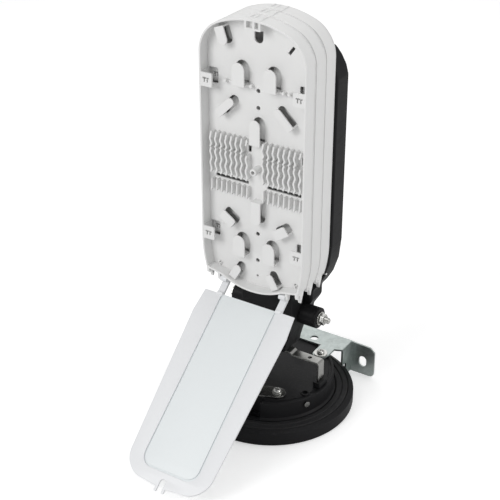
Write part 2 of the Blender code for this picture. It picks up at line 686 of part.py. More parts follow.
def holder_outline():
    half = HOLDER_HALF_WIDTH
    z = TRAY_Z
    neck = HOLDER_NECK_HALF_WIDTH
    right = [(0, CLAMP_Z - CLAMP_BOSS_RADIUS), (POST_HALF_WIDTH, CLAMP_Z - CLAMP_BOSS_RADIUS)]
    right += [(POST_HALF_WIDTH, CLAMP_Z), (neck, z + HOLDER_NECK_Z - 11 * MM), (neck, z + HOLDER_NECK_Z)]
    right += [(neck + 5.6 * MM, z - 6.6 * MM), (half - 7.5 * MM, z + 4.6 * MM)]
    right += [(half - 2.2 * MM, z + HOLDER_HIP_Z / 2), (half, z + HOLDER_HIP_Z)]
    right += [(half, z + HOLDER_SHOULDER_Z), (half - 2.6 * MM, z + HOLDER_SHOULDER_Z + 9 * MM)]
    right += [(half - 7.2 * MM, z + HOLDER_SHOULDER_Z + 17 * MM)]
    right += [(HOLDER_SHOULDER_X, z + HOLDER_SHOULDER_TOP_Z)]
    right += [(HOLDER_SHOULDER_X * 0.55, z + HOLDER_TOP_Z - 3 * MM), (0, z + HOLDER_TOP_Z)]
    return mirrored(right)


def hinge_pocket_tools(front):
    """Room in the holder's face for the rear tray's arms and pins."""
    axis_y = front - GAP + HINGE_INSET
    axis_z = TRAY_Z + HINGE_RISE
    arm_low = JAW_INNER_X - 2 * GAP - ARM_WIDTH
    tools = []
    for side in (-1, 1):
        arm = sorted((side * (arm_low - 2 * GAP), side * JAW_INNER_X))
        eye = EYE_RADIUS + 2 * GAP
        tools.append(slab(box_outline((front - 3 * MM, axis_z - eye - 1 * MM), (axis_y + eye, axis_z + eye)),
                          arm[0], arm[1], "YZ"))
        pin = sorted((side * (JAW_INNER_X - BITE), side * (HOLDER_HALF_WIDTH + 1 * MM)))
        r = HINGE_PIN_RADIUS + GAP
        tools.append(slab(box_outline((front - 3 * MM, axis_z - r), (axis_y + r, axis_z + r)),
                          pin[0], pin[1], "YZ"))
    return tools


def tray_holder():
    front = HOLDER_FRONT_Y
    back = front + HOLDER_DEPTH
    body = rounded(slab(holder_outline(), front, back, "XZ"), 2.4 * MM)
    bosses = []
    for side in (-1, 1):
        reach = sorted((side * (POST_HALF_WIDTH + GAP), side * CLAMP_BOSS_END))
        bosses.append(round_bar((CLAMP_Y, CLAMP_Z), CLAMP_BOSS_RADIUS, reach[0], reach[1], "YZ", 24))
    body = join(body, bosses)
    wall = HOLDER_WALL
    low = TRAY_Z + 6 * MM
    high = TRAY_Z + HOLDER_TOP_Z
    hollow = slab(inset(holder_outline(), wall), front + HOLDER_FACE, back + 5 * MM, "XZ")
    below = slab(box_outline((-2 * HOLDER_HALF_WIDTH, 0), (2 * HOLDER_HALF_WIDTH, low)),
                 front - 5 * MM, back + 6 * MM, "XZ")
    hollow = cut(hollow, [below])
    ribs = []
    for i in range(HOLDER_RIBS):
        z = low + (high - low) * (i + 1) / (HOLDER_RIBS + 1)
        ribs.append(slab(box_outline((-2 * HOLDER_HALF_WIDTH, z - HOLDER_RIB / 2),
                                     (2 * HOLDER_HALF_WIDTH, z + HOLDER_RIB / 2)),
                         front, back - 2 * MM, "XZ"))
    ribs.append(slab(box_outline((-HOLDER_RIB / 2, low - 1 * MM), (HOLDER_RIB / 2, high)),
                     front, back - 2 * MM, "XZ"))
    hollow = cut(hollow, ribs)
    shank = round_bar((CLAMP_Y, CLAMP_Z), CLAMP_SHANK_RADIUS + GAP, -2 * CLAMP_BOSS_END,
                      2 * CLAMP_BOSS_END, "YZ")
    tools = [hollow, shank] + hinge_pocket_tools(front)
    named(cut(body, tools), "tray_holder", BLACK, (0, front, CLAMP_Z))


def hexagon(radius):
    return arc((CLAMP_Y, CLAMP_Z), radius, 0, 300, 5)


def clamp_bolt():
    end = CLAMP_BOSS_END + GAP
    shank = round_bar((CLAMP_Y, CLAMP_Z), CLAMP_SHANK_RADIUS, -end - BITE, end + CLAMP_TAIL, "YZ", 20)
    head = slab(hexagon(CLAMP_NUT_RADIUS), -end - 4 * MM, -end, "YZ")
    named(join(head, [shank]), "clamp_bolt", STEEL, (0, CLAMP_Y, CLAMP_Z))
    hole = CLAMP_SHANK_RADIUS + GAP
    ring = washer(hole, CLAMP_WASHER_RADIUS, WASHER_THICKNESS)
    ring.data.transform(Matrix.Rotation(pi / 2, 4, "Y"))
    moved(ring, end, CLAMP_Y, CLAMP_Z)
    named(ring, "clamp_washer", STEEL, (end, CLAMP_Y, CLAMP_Z))
    seat = end + WASHER_THICKNESS + GAP
    nut = slab(hexagon(CLAMP_NUT_RADIUS), seat, seat + CLAMP_NUT_THICKNESS, "YZ")
    bore = round_bar((CLAMP_Y, CLAMP_Z), hole, seat - 2 * MM, seat + 9 * MM, "YZ", 20)
    named(cut(nut, [bore]), "clamp_nut", STEEL, (seat, CLAMP_Y, CLAMP_Z))


# Splice trays. Their own frame has y = 0 at the front rim, rising to the back, and z = 0 at the foot

def tray_outline():
    chin = TRAY_CHIN_HALF_WIDTH
    rise = TRAY_CHIN_RISE
    chin_radius = (chin ** 2 + rise ** 2) / (2 * rise)
    spread = degrees(atan2(chin, chin_radius - rise))
    right = arc((0, chin_radius), chin_radius, -90, -90 + spread, 6)
    draw = TRAY_HALF_WIDTH - TRAY_LOW_HALF_WIDTH
    run = TRAY_SIDE_START - TRAY_LOW_CORNER_Z
    side_radius = (run ** 2 + draw ** 2) / (2 * draw)
    sweep = degrees(atan2(run, side_radius - draw))
    right += arc((TRAY_HALF_WIDTH - side_radius, TRAY_SIDE_START), side_radius, -sweep, 0, 5)
    corner_x = TRAY_HALF_WIDTH - TRAY_CORNER_RADIUS
    top_center = TRAY_LENGTH - TRAY_TOP_RADIUS
    corner_z = top_center + sqrt((TRAY_TOP_RADIUS - TRAY_CORNER_RADIUS) ** 2 - corner_x ** 2)
    turn = degrees(atan2(corner_z - top_center, corner_x))
    right += arc((corner_x, corner_z), TRAY_CORNER_RADIUS, 0, turn, 6)
    right += arc((0, top_center), TRAY_TOP_RADIUS, turn, 90, 4)[1:]
    return mirrored(right)


def capsule(foot, tip, width, round_foot=False):
    """A strip from its foot to a round tip, and a round foot where that is asked for."""
    angle = degrees(atan2(tip[1] - foot[1], tip[0] - foot[0]))
    r = width / 2
    back = (tip[0] - r * cos(radians(angle)), tip[1] - r * sin(radians(angle)))
    points = arc(back, r, angle - 90, angle + 90, 6)
    if round_foot:
        return points + arc(foot, r, angle + 90, angle + 270, 6)
    side = radians(angle + 90)
    return points + [(foot[0] + r * cos(side), foot[1] + r * sin(side)),
                     (foot[0] - r * cos(side), foot[1] - r * sin(side))]


def tongues():
    """The foot, tip and width of each tongue, in pairs and down the middle line."""
    w = TONGUE_WIDTH
    n = SLANT_TONGUE_WIDTH
    reach = TONGUE_LENGTH
    high = TRAY_LENGTH - 60 * MM
    low = 32.5 * MM
    rows = [((side * 16.2 * MM, z), (side * 16.2 * MM, z + reach), w) for z in (low, high)
            for side in (-1, 1)]
    middle = (COMB_TOP_Z - 1 * MM, COMB_TOP_Z + reach + 2 * MM)
    rows.append(((1 * MM, middle[0]), (1 * MM, middle[1]), w - 2 * MM))
    for side in (-1, 1):
        rows.append(((side * 38 * MM, high - 30 * MM), (side * 22 * MM, high - 14 * MM), n))
        rows.append(((side * 24 * MM, 7.5 * MM), (side * 16 * MM, 21.5 * MM), n))
        rows.append(((side * 34 * MM, 64.5 * MM), (side * 25.5 * MM, 74 * MM), 15 * MM))
    rows.append(((-36 * MM, TRAY_LENGTH - 9 * MM), (-30.5 * MM, TRAY_LENGTH - 25 * MM), n + 2 * MM))
    return rows


def tongue_tools():
    """Slots through the floor, and above each one a tab on a root wall."""
    slots = []
    tabs = []
    for foot, tip, width in tongues():
        length = hypot(tip[0] - foot[0], tip[1] - foot[1])
        ux, uz = (tip[0] - foot[0]) / length, (tip[1] - foot[1]) / length
        ahead = (foot[0] + ux * TRAY_WALL, foot[1] + uz * TRAY_WALL)
        beyond = (tip[0] + ux * SLOT_MARGIN, tip[1] + uz * SLOT_MARGIN)
        slots.append(slab(capsule(ahead, beyond, width + 2 * SLOT_MARGIN), TRAY_FLOOR_Y - 1 * MM,
                          TRAY_FLOOR_Y + TRAY_FLOOR + 1 * MM, "XZ"))
        tabs.append(slab(capsule(foot, tip, width), TONGUE_Y, TONGUE_Y + TONGUE_THICKNESS, "XZ"))
        half = width / 2 - SLOT_MARGIN / 3
        near = (foot[0] + ux * SLOT_MARGIN / 3, foot[1] + uz * SLOT_MARGIN / 3)
        back = (foot[0] + ux * TRAY_WALL * 0.8, foot[1] + uz * TRAY_WALL * 0.8)
        px, pz = -uz * half, ux * half
        root = [(near[0] - px, near[1] - pz), (back[0] - px, back[1] - pz),
                (back[0] + px, back[1] + pz), (near[0] + px, near[1] + pz)]
        tabs.append(slab(root, TONGUE_Y + BITE / 2, TRAY_FLOOR_Y + BITE, "XZ"))
    return slots, tabs


def comb_tools():
    """Ribs that stand in rows on each side, with a sway that grips the sleeves, and a cross slit."""
    ribs = []
    slits = []
    top = TRAY_FLOOR_Y - COMB_RIB_HEIGHT
    deep = TRAY_FLOOR_Y + BITE
    half = COMB_RIB / 2
    third = (COMB_TOP_Z - COMB_SPLIT_Z) / 3
    for side in (-1, 1):
        for i in range(COMB_RIBS):
            x = side * (COMB_INNER_X + COMB_PITCH * i)
            levels = [(COMB_SPLIT_Z, 0), (COMB_SPLIT_Z + third, COMB_SWAY),
                      (COMB_SPLIT_Z + 2 * third, -COMB_SWAY), (COMB_TOP_Z, 0)]
            right = [(x + half + sway, z) for z, sway in levels]
            left = [(x - half + sway, z) for z, sway in reversed(levels)]
            ribs.append(slab(right + left, top, deep, "XZ"))
            ribs.append(slab(box_outline((x - half, COMB_LOW_Z), (x + half, COMB_SPLIT_Z - COMB_SLIT)),
                             top + 1 * MM, deep, "XZ"))
        span = sorted((side * (COMB_INNER_X - 2 * MM),
                       side * (COMB_INNER_X + COMB_PITCH * (COMB_RIBS - 1) + 1 * MM)))
        slits.append(slab(box_outline((span[0], COMB_SPLIT_Z - COMB_SLIT * 0.9),
                                      (span[1], COMB_SPLIT_Z - COMB_SLIT * 0.1)),
                          TRAY_FLOOR_Y - 1 * MM, TRAY_FLOOR_Y + TRAY_FLOOR + 1 * MM, "XZ"))
    return slits, ribs


def tray_holes():
    """Round holes down the middle line, slots under the clips and the catch, and a small slot."""
    low = TRAY_FLOOR_Y - 1 * MM
    high = TRAY_FLOOR_Y + TRAY_FLOOR + 1 * MM
    top = TRAY_LENGTH
    holes = [round_bar((0, z), 2 * MM, low, high, "XZ", 10)
             for z in (top - 63.5 * MM, top - 79.5 * MM, 57.2 * MM, 29.2 * MM)]
    holes.append(round_bar((0, 12.5 * MM), 1.2 * MM, low, high, "XZ", 8))
    holes.append(round_bar((0, 76.5 * MM), 1.8 * MM, low, high, "XZ", 8))
    holes.append(slab(capsule((0.4 * MM, top - 9 * MM), (0.4 * MM, top - 20 * MM), 8.8 * MM),
                      low, high, "XZ"))
    holes.append(slab(capsule((31 * MM, top - 18.6 * MM), (37 * MM, top - 22.8 * MM), 2 * MM),
                      low, high, "XZ"))
    for z in clip_levels():
        for side in (-1, 1):
            x = sorted((side * (TRAY_HALF_WIDTH - TRAY_WALL - 9.5 * MM), side * (TRAY_HALF_WIDTH - 4 * MM)))
            holes.append(slab(box_outline((x[0], z), (x[1], z + 14 * MM)), low, high, "XZ"))
    return holes


def clip_levels():
    return TRAY_LENGTH - 64 * MM, 46 * MM


def tray_trim():
    """Clips at the sides, the top catch, the pegged ribs and the hollow boss in the middle."""
    adds = []
    deep = TRAY_FLOOR_Y + BITE
    for z in clip_levels():
        for side in (-1, 1):
            x = sorted((side * (TRAY_HALF_WIDTH - 14 * MM), side * (TRAY_HALF_WIDTH - BITE)))
            adds.append(slab(box_outline((x[0], z + 0.5 * MM), (x[1], z + 13 * MM)), 0.2 * MM,
                             2.2 * MM, "XZ"))
    top = TRAY_LENGTH
    adds.append(slab(box_outline((-8.2 * MM, top - 7 * MM), (8.2 * MM, top + 1.6 * MM)), 0.2 * MM,
                     6 * MM, "XZ"))
    rib_z = TRAY_LENGTH - 60 * MM
    for low_x, high_x in ((-45 * MM, -23.6 * MM), (8.4 * MM, 32 * MM)):
        adds.append(slab(box_outline((low_x, rib_z), (high_x, rib_z + 1.4 * MM)), TRAY_FLOOR_Y - 3 * MM,
                         deep, "XZ"))
    for x in (-45 * MM, -26 * MM, -7 * MM, 6.5 * MM, 26 * MM, 33 * MM):
        adds.append(round_bar((x, rib_z + 0.7 * MM), 1.7 * MM, TRAY_FLOOR_Y - 4.5 * MM, deep, "XZ", 8))
    adds.append(round_bar((1 * MM, 124 * MM), 3.6 * MM, 0.8 * MM, deep, "XZ", 14))
    return adds


def jaw_outline():
    """A jaw at the front corner: two horns and a round notch between them for a pin."""
    y = HINGE_INSET
    z = HINGE_RISE
    r = HINGE_PIN_RADIUS + GAP
    top = TRAY_LOW_CORNER_Z + 2 * MM
    front = [(0.3 * MM, top), (0.3 * MM, z + 1 * MM), (y - r - 1.3 * MM, z - r), (y - r - 0.4 * MM, z - r)]
    notch = arc((y, z), r, 180, 0, 6)
    horn = [(y + r, z - 2 * MM), (y + r + 1.2 * MM, z - 6.6 * MM), (y + r + 2.2 * MM, z - 8.3 * MM)]
    horn += [(y + r + 3.1 * MM, z - 7 * MM), (y + 7.3 * MM, z - 0.5 * MM), (y + 9 * MM, top)]
    return front + notch + horn


def hinge_arm_outline():
    """An arm from the back of the tray to the pin, under the next tray's wall."""
    y = TRAY_PITCH + HINGE_INSET
    z = HINGE_RISE
    r = EYE_RADIUS
    root = TRAY_DEPTH - 4.5 * MM
    points = [(root, z + 4.5 * MM), (root, z + 1 * MM), (root + 3 * MM, z - r + 0.3 * MM)]
    points += arc((y, z), r, -90, 90, 6)
    points += [(TRAY_DEPTH - GAP, z + r), (TRAY_DEPTH - GAP, z + 4.5 * MM)]
    return points


def lid_lug_outline():
    y = LID_PIN_INSET
    z = LID_PIN_RISE
    r = LID_PIN_RADIUS + 1 * MM
    top = TRAY_CHIN_RISE + 2.2 * MM
    return [(y + r + 1.5 * MM, top), (y - r - 0.8 * MM, top)] + arc((y, z), r, 180, 360, 6)


def tray_hinges():
    adds = []
    arm_high = JAW_INNER_X - 2 * GAP
    for side in (-1, 1):
        jaw = sorted((side * JAW_INNER_X, side * (JAW_INNER_X + JAW_WIDTH)))
        adds.append(slab(jaw_outline(), jaw[0], jaw[1], "YZ"))
        arm = sorted((side * (arm_high - ARM_WIDTH), side * arm_high))
        adds.append(slab(hinge_arm_outline(), arm[0], arm[1], "YZ"))
        pin = sorted((side * (arm_high - ARM_WIDTH / 2), side * (JAW_INNER_X + JAW_WIDTH)))
        adds.append(round_bar((TRAY_PITCH + HINGE_INSET, HINGE_RISE), HINGE_PIN_RADIUS,
                              pin[0], pin[1], "YZ", 10))
        lug_low = LID_ARM_X + LID_ARM_WIDTH / 2 + 2 * GAP
        lug = sorted((side * lug_low, side * (lug_low + LID_LUG)))
        adds.append(slab(lid_lug_outline(), lug[0], lug[1], "YZ"))
        pin = sorted((side * (LID_ARM_X - LID_ARM_WIDTH / 2), side * (lug_low + LID_LUG / 2)))
        adds.append(round_bar((LID_PIN_INSET, LID_PIN_RISE), LID_PIN_RADIUS, pin[0], pin[1], "YZ", 10))
    return adds


def tray_solid():
    outline = tray_outline()
    body = slab(outline, 0, TRAY_DEPTH, "XZ")
    inner = inset(outline, TRAY_WALL)
    back = TRAY_FLOOR_Y + TRAY_FLOOR
    pockets = [slab(inner, -1 * MM, TRAY_FLOOR_Y, "XZ"), slab(inner, back, TRAY_DEPTH + 1 * MM, "XZ")]
    relief = slab(box_outline((-TRAY_CHIN_HALF_WIDTH - HEEL_MARGIN, -5 * MM),
                              (TRAY_CHIN_HALF_WIDTH + HEEL_MARGIN, HINGE_RISE)),
                  TRAY_DEPTH - HEEL_RELIEF, TRAY_DEPTH + 1 * MM, "XZ")
    body = cut(body, pockets + [relief])
    slots, tabs = tongue_tools()
    slits, ribs = comb_tools()
    body = cut(body, slots + slits + tray_holes())
    body = join(body, tabs + ribs + tray_trim() + tray_hinges())
    bore = round_bar((1 * MM, 124 * MM), 1.9 * MM, -1 * MM, TRAY_FLOOR_Y - 1 * MM, "XZ", 10)
    return cut(body, [bore])


def splice_trays():
    """Three trays of one moulding. Each one's origin is on its hinge axis, at the pins."""
    first = tray_solid()
    first.data.transform(Matrix.Translation((0, -TRAY_PITCH - HINGE_INSET, -HINGE_RISE)))
    mesh = first.data
    for number, name in enumerate(("tray_rear", "tray_middle", "tray_front")):
        tray = first if number == 0 else bpy.data.objects.new(name, mesh)
        if number:
            bpy.context.scene.collection.objects.link(tray)
        named(tray, name, WHITE)
        tray.location = (0, hinge_y(number), TRAY_Z + HINGE_RISE)


def tray_front_y(number):
    return TRAY_BACK_Y - TRAY_DEPTH - TRAY_PITCH * number


def hinge_y(number):
    """The hinge axis of a tray: the rear one's is in the holder, the others' in the tray behind."""
    return tray_front_y(number) + TRAY_PITCH + HINGE_INSET


# Lid, modelled closed in front of the tray, with its hinge axis at the origin, and then opened

def lid_half_outline():
    low = LID_EDGE_DROP
    far = low + LID_LENGTH
    r = LID_CORNER_RADIUS
    end = far - LID_CROWN
    right = [(0, low), (LID_TOP_HALF_WIDTH - LID_CHAMFER, low)]
    right += [(LID_TOP_HALF_WIDTH, low + LID_CHAMFER_RUN)]
    right += arc((LID_FAR_HALF_WIDTH - r, end - r), r, 0, 90, 8)
    prong = far + LID_CATCH_REACH
    right += [(LID_CATCH_HALF_WIDTH, far), (LID_CATCH_HALF_WIDTH, prong - 1 * MM)]
    right += [(LID_CATCH_HALF_WIDTH - 0.8 * MM, prong), (0, prong)]
    return right


def lid_panel_outline():
    half = LID_PANEL_HALF_WIDTH
    low = LID_EDGE_DROP - 2 * MM
    far = LID_EDGE_DROP + LID_LENGTH - 14 * MM
    r = 12 * MM
    return mirrored([(0, low), (half, low)] + arc((half - r, far - r), r, 0, 90, 6) + [(0, far)])


def lid_arm_outline():
    """A J-shaped arm: a hook that snaps over the pin, a bar under the rim and a leg to the plate."""
    inner = LID_PIN_RADIUS + GAP
    outer = inner + LID_HOOK_WALL
    face = -LID_STANDOFF
    back = face - LID_THICKNESS
    bar = -outer + 2 * MM
    lift = degrees(atan2(-bar, sqrt(outer ** 2 - bar ** 2)))
    skin = LID_THICKNESS / 10
    tail = LID_EDGE_DROP + 1 * MM
    points = [(0, -outer), (back + skin, -outer), (back + skin, tail), (face - skin, tail)]
    points += [(face - skin, bar)]
    points += arc((0, 0), outer, 180 + lift, 170, 2) + arc((0, 0), inner, 170, 470, 12)
    points += arc((0, 0), outer, 110, -90, 8)[:-1]
    return points


def lid():
    face = -LID_STANDOFF
    back = face - LID_THICKNESS
    plate = slab(mirrored(lid_half_outline()), back, face, "XZ")
    far = LID_EDGE_DROP + LID_LENGTH
    slot = capsule((0, far + LID_CATCH_REACH + 2 * MM), (0, far - 8 * MM), LID_CATCH_SLOT)
    plate = cut(plate, [slab(slot, back - 1 * MM, face + 1 * MM, "XZ"),
                        slab(lid_panel_outline(), face - LID_PANEL_STEP, face + 1 * MM, "XZ")])
    arms = []
    for side in (-1, 1):
        span = sorted((side * (LID_ARM_X - LID_ARM_WIDTH / 2), side * (LID_ARM_X + LID_ARM_WIDTH / 2)))
        arms.append(slab(lid_arm_outline(), span[0], span[1], "YZ"))
    body = join(plate, arms)
    body.data.transform(Matrix.Rotation(radians(LID_OPEN_ANGLE), 4, "X"))
    named(body, "lid", LID_WHITE)
    body.location = (0, tray_front_y(2) + LID_PIN_INSET, TRAY_Z + LID_PIN_RISE)


clear_scene()
PARTS = collection("Fiber splice closure")
BLACK = plastic("black moulded plastic", (0.018, 0.018, 0.019), 0.42)
RUBBER = plastic("black rubber", (0.014, 0.014, 0.015), 0.6)
WHITE = plastic("white tray plastic", (0.76, 0.77, 0.78), 0.38)
LID_WHITE = plastic("pale lid plastic", (0.79, 0.82, 0.82), 0.3)
STEEL = finish("bright zinc steel", (0.62, 0.62, 0.6), 0.28, 1.0)
GALVANISED = finish("galvanised sheet", (0.55, 0.6, 0.58), 0.4, 1.0)

base()
seal_ring()
port_plugs()
bridge_strap()
post_screws()
strength_strip()
earth_screw()
wall_bracket()
support_post()
tray_holder()
clamp_bolt()
splice_trays()
lid()
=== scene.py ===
# %% [markdown]
# # A fiber splice closure with its dome off
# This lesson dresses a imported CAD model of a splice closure. The real one is a black
# moulded base with a steel strap, a column and a black carrier, and three white trays that
# hold spliced fibres. A pale lid hangs open from the front tray.
# The CAD solids give every place and size. Here they get rounded edges, finer parts and finishes.

import json
from math import atan2, cos, degrees, hypot, pi, radians, sin, sqrt

import bmesh
import bpy
from mathutils import Matrix, Vector

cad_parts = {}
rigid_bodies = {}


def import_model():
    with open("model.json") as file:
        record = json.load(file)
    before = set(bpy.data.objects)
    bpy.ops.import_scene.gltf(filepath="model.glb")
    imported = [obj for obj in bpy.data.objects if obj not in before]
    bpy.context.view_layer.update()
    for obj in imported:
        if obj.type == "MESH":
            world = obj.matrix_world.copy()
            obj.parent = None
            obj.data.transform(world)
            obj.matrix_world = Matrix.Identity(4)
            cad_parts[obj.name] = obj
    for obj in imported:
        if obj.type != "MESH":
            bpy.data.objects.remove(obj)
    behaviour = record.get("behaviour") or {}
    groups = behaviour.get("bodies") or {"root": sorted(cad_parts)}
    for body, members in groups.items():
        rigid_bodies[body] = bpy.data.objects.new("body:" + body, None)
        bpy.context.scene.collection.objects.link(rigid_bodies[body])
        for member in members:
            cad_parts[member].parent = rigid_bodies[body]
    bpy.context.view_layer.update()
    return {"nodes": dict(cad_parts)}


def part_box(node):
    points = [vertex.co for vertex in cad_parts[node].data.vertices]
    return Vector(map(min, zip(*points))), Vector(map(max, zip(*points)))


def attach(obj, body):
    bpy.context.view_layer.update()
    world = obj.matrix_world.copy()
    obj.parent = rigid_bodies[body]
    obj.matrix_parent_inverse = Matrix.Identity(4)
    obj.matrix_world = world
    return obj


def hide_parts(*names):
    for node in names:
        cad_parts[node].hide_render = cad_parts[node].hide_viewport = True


for thing in list(bpy.data.objects):
    bpy.data.objects.remove(thing, do_unlink=True)
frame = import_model()
nodes = frame["nodes"]

# %% [markdown]
# ## Camera
# The photo is taken from the front right and from above, with a long lens. The angles
# were found by matching known points of the part, and the lens from how much the part tapers.

# %% Camera
MM = 0.001
AZIMUTH = radians(32.36)
ELEVATION = radians(28.67)
DISTANCE = 1162.3 * MM
TARGET = Vector((-24.88, 0, 162)) * MM

lens = bpy.data.cameras.new("photo_camera")
lens.sensor_fit = "HORIZONTAL"
lens.sensor_width = 36
lens.lens = 86.18
camera = bpy.data.objects.new("photo_camera", lens)
bpy.context.scene.collection.objects.link(camera)
sight = Vector((sin(AZIMUTH) * cos(ELEVATION), -cos(AZIMUTH) * cos(ELEVATION), sin(ELEVATION)))
camera.location = TARGET + sight * DISTANCE
camera.rotation_euler = sight.to_track_quat("Z", "Y").to_euler()
bpy.context.scene.camera = camera
print("camera at", [round(v, 3) for v in camera.location])

# %% [markdown]
# ## Light and floor
# A product photo like this one is lit by large soft boxes in a white room. A pale world gives
# the soft part, and four area lamps give the shading that shows the trays' depth.
# Where the camera looks past the part it sees plain white, by the Light Path node.

# %% World
WHITE = (1, 1, 1, 1)
ROOM_LIGHT = 0.48

world = bpy.data.worlds.new("white_room")
bpy.context.scene.world = world
world.use_nodes = True
tree = world.node_tree
tree.nodes.clear()
out = tree.nodes.new("ShaderNodeOutputWorld")
room = tree.nodes.new("ShaderNodeBackground")
room.inputs["Color"].default_value = WHITE
room.inputs["Strength"].default_value = ROOM_LIGHT
seen = tree.nodes.new("ShaderNodeBackground")
seen.inputs["Color"].default_value = WHITE
seen.inputs["Strength"].default_value = 1.0
path = tree.nodes.new("ShaderNodeLightPath")
mix = tree.nodes.new("ShaderNodeMixShader")
tree.links.new(path.outputs["Is Camera Ray"], mix.inputs[0])
tree.links.new(room.outputs[0], mix.inputs[1])
tree.links.new(seen.outputs[0], mix.inputs[2])
tree.links.new(mix.outputs[0], out.inputs[0])
bpy.context.scene.view_settings.view_transform = "Standard"
print("world:", world.name, "at", ROOM_LIGHT)


# %% Lamps
def soft_lamp(name, place, height, size, watts):
    """A square soft box at a place, turned to a height on the part's axis."""
    lamp = bpy.data.lights.new(name, "AREA")
    lamp.shape = "SQUARE"
    lamp.size = size
    lamp.energy = watts
    box = bpy.data.objects.new(name, lamp)
    bpy.context.scene.collection.objects.link(box)
    box.location = place
    box.rotation_euler = (Vector(place) - Vector((0, 0, height))).to_track_quat("Z", "Y").to_euler()
    print(name, watts, "W")


soft_lamp("key_lamp", (-0.55, -1.5, 1.2), 0.22, 0.9, 15)
soft_lamp("right_lamp", (1.4, 0.3, 0.8), 0.2, 0.8, 6)
soft_lamp("back_lamp", (-0.75, 1.19, 0.77), 0.05, 0.9, 2)
soft_lamp("top_lamp", (0.1, 0.4, 1.6), 0.2, 0.8, 3)


# %% [markdown]
# A sheet of white paper carries the part. Its own colour takes the shadows, and a little glow that
# only the camera sees lifts it to the white of the photo without lighting the part.

# %% Floor
FLOOR_HALF = 3.0
FLOOR_DROP = 0.5 * MM
PAPER_WHITE = 0.8
PAPER_GLOW = 0.42


def new_material(name):
    made = bpy.data.materials.new(name)
    made.use_nodes = True
    return made, made.node_tree, made.node_tree.nodes["Principled BSDF"]


floor_mesh = bpy.data.meshes.new("floor")
shape = bmesh.new()
bmesh.ops.create_grid(shape, x_segments=8, y_segments=8, size=FLOOR_HALF)
shape.to_mesh(floor_mesh)
shape.free()
floor = bpy.data.objects.new("floor", floor_mesh)
bpy.context.scene.collection.objects.link(floor)
floor.location.z = -FLOOR_DROP
paper, tree, shader = new_material("white_paper_sweep")
shader.inputs["Base Color"].default_value = (PAPER_WHITE, PAPER_WHITE, PAPER_WHITE, 1)
shader.inputs["Roughness"].default_value = 0.9
glow = tree.nodes.new("ShaderNodeEmission")
glow.inputs["Strength"].default_value = PAPER_GLOW
add = tree.nodes.new("ShaderNodeAddShader")
pick = tree.nodes.new("ShaderNodeMixShader")
path = tree.nodes.new("ShaderNodeLightPath")
tree.links.new(shader.outputs[0], add.inputs[0])
tree.links.new(glow.outputs[0], add.inputs[1])
tree.links.new(path.outputs["Is Camera Ray"], pick.inputs[0])
tree.links.new(shader.outputs[0], pick.inputs[1])
tree.links.new(add.outputs[0], pick.inputs[2])
tree.links.new(pick.outputs[0], tree.nodes["Material Output"].inputs[0])
floor_mesh.materials.append(paper)
print("floor and", len(bpy.data.lights), "lamps")

# %% [markdown]
# ## Shared effects
# Moulded plastic is never quite even. The tool's surface leaves a fine grain, and the plastic
# shrinks a little and leaves soft clouds. A node group makes both from the place on the part, so
# every plastic here can use it with its own values. Handled steel and plastic also carry dust and
# faint rub marks, and a second group makes those.


# %% Node group helpers
def new_group(name, inputs, outputs):
    group = bpy.data.node_groups.new(name, "ShaderNodeTree")
    for label, kind, value in inputs:
        socket = group.interface.new_socket(label, in_out="INPUT", socket_type=kind)
        if value is not None:
            socket.default_value = value
    for label, kind in outputs:
        group.interface.new_socket(label, in_out="OUTPUT", socket_type=kind)
    return group, group.nodes.new("NodeGroupInput"), group.nodes.new("NodeGroupOutput")


def node(tree, kind, values=(), **settings):
    made = tree.nodes.new(kind)
    for key, value in settings.items():
        setattr(made, key, value)
    for key, value in dict(values).items():
        made.inputs[key].default_value = value
    return made


def wire(tree, pairs):
    for start, end in pairs:
        tree.links.new(start, end)


# %% Moulded grain
grain, given, told = new_group(
    "Moulded grain",
    [("Color", "NodeSocketColor", (0.8, 0.8, 0.8, 1)), ("Cloud", "NodeSocketFloat", 0.04),
     ("Grain size", "NodeSocketFloat", 900.0), ("Roughness", "NodeSocketFloat", 0.4),
     ("Spread", "NodeSocketFloat", 0.08)],
    [("Color", "NodeSocketColor"), ("Roughness", "NodeSocketFloat"), ("Height", "NodeSocketFloat")])
place = node(grain, "ShaderNodeTexCoord")
fine = node(grain, "ShaderNodeTexNoise", {"Detail": 4.0, "Roughness": 0.6})
cloud = node(grain, "ShaderNodeTexNoise", {"Scale": 28.0, "Detail": 3.0, "Roughness": 0.5})
level = node(grain, "ShaderNodeMath", {1: 0.5}, operation="SUBTRACT")
amount = node(grain, "ShaderNodeMath", operation="MULTIPLY")
shift = node(grain, "ShaderNodeMath", {0: 1.0}, operation="ADD")
tint = node(grain, "ShaderNodeVectorMath", operation="SCALE")
rough = node(grain, "ShaderNodeMath", operation="MULTIPLY_ADD")
wire(grain, [
    (place.outputs["Object"], fine.inputs["Vector"]),
    (place.outputs["Object"], cloud.inputs["Vector"]),
    (given.outputs["Grain size"], fine.inputs["Scale"]),
    (cloud.outputs["Fac"], level.inputs[0]),
    (level.outputs[0], amount.inputs[0]),
    (given.outputs["Cloud"], amount.inputs[1]),
    (amount.outputs[0], shift.inputs[1]),
    (given.outputs["Color"], tint.inputs[0]),
    (shift.outputs[0], tint.inputs["Scale"]),
    (level.outputs[0], rough.inputs[0]),
    (given.outputs["Spread"], rough.inputs[1]),
    (given.outputs["Roughness"], rough.inputs[2]),
    (tint.outputs[0], told.inputs["Color"]),
    (rough.outputs[0], told.inputs["Roughness"]),
    (fine.outputs["Fac"], told.inputs["Height"])])

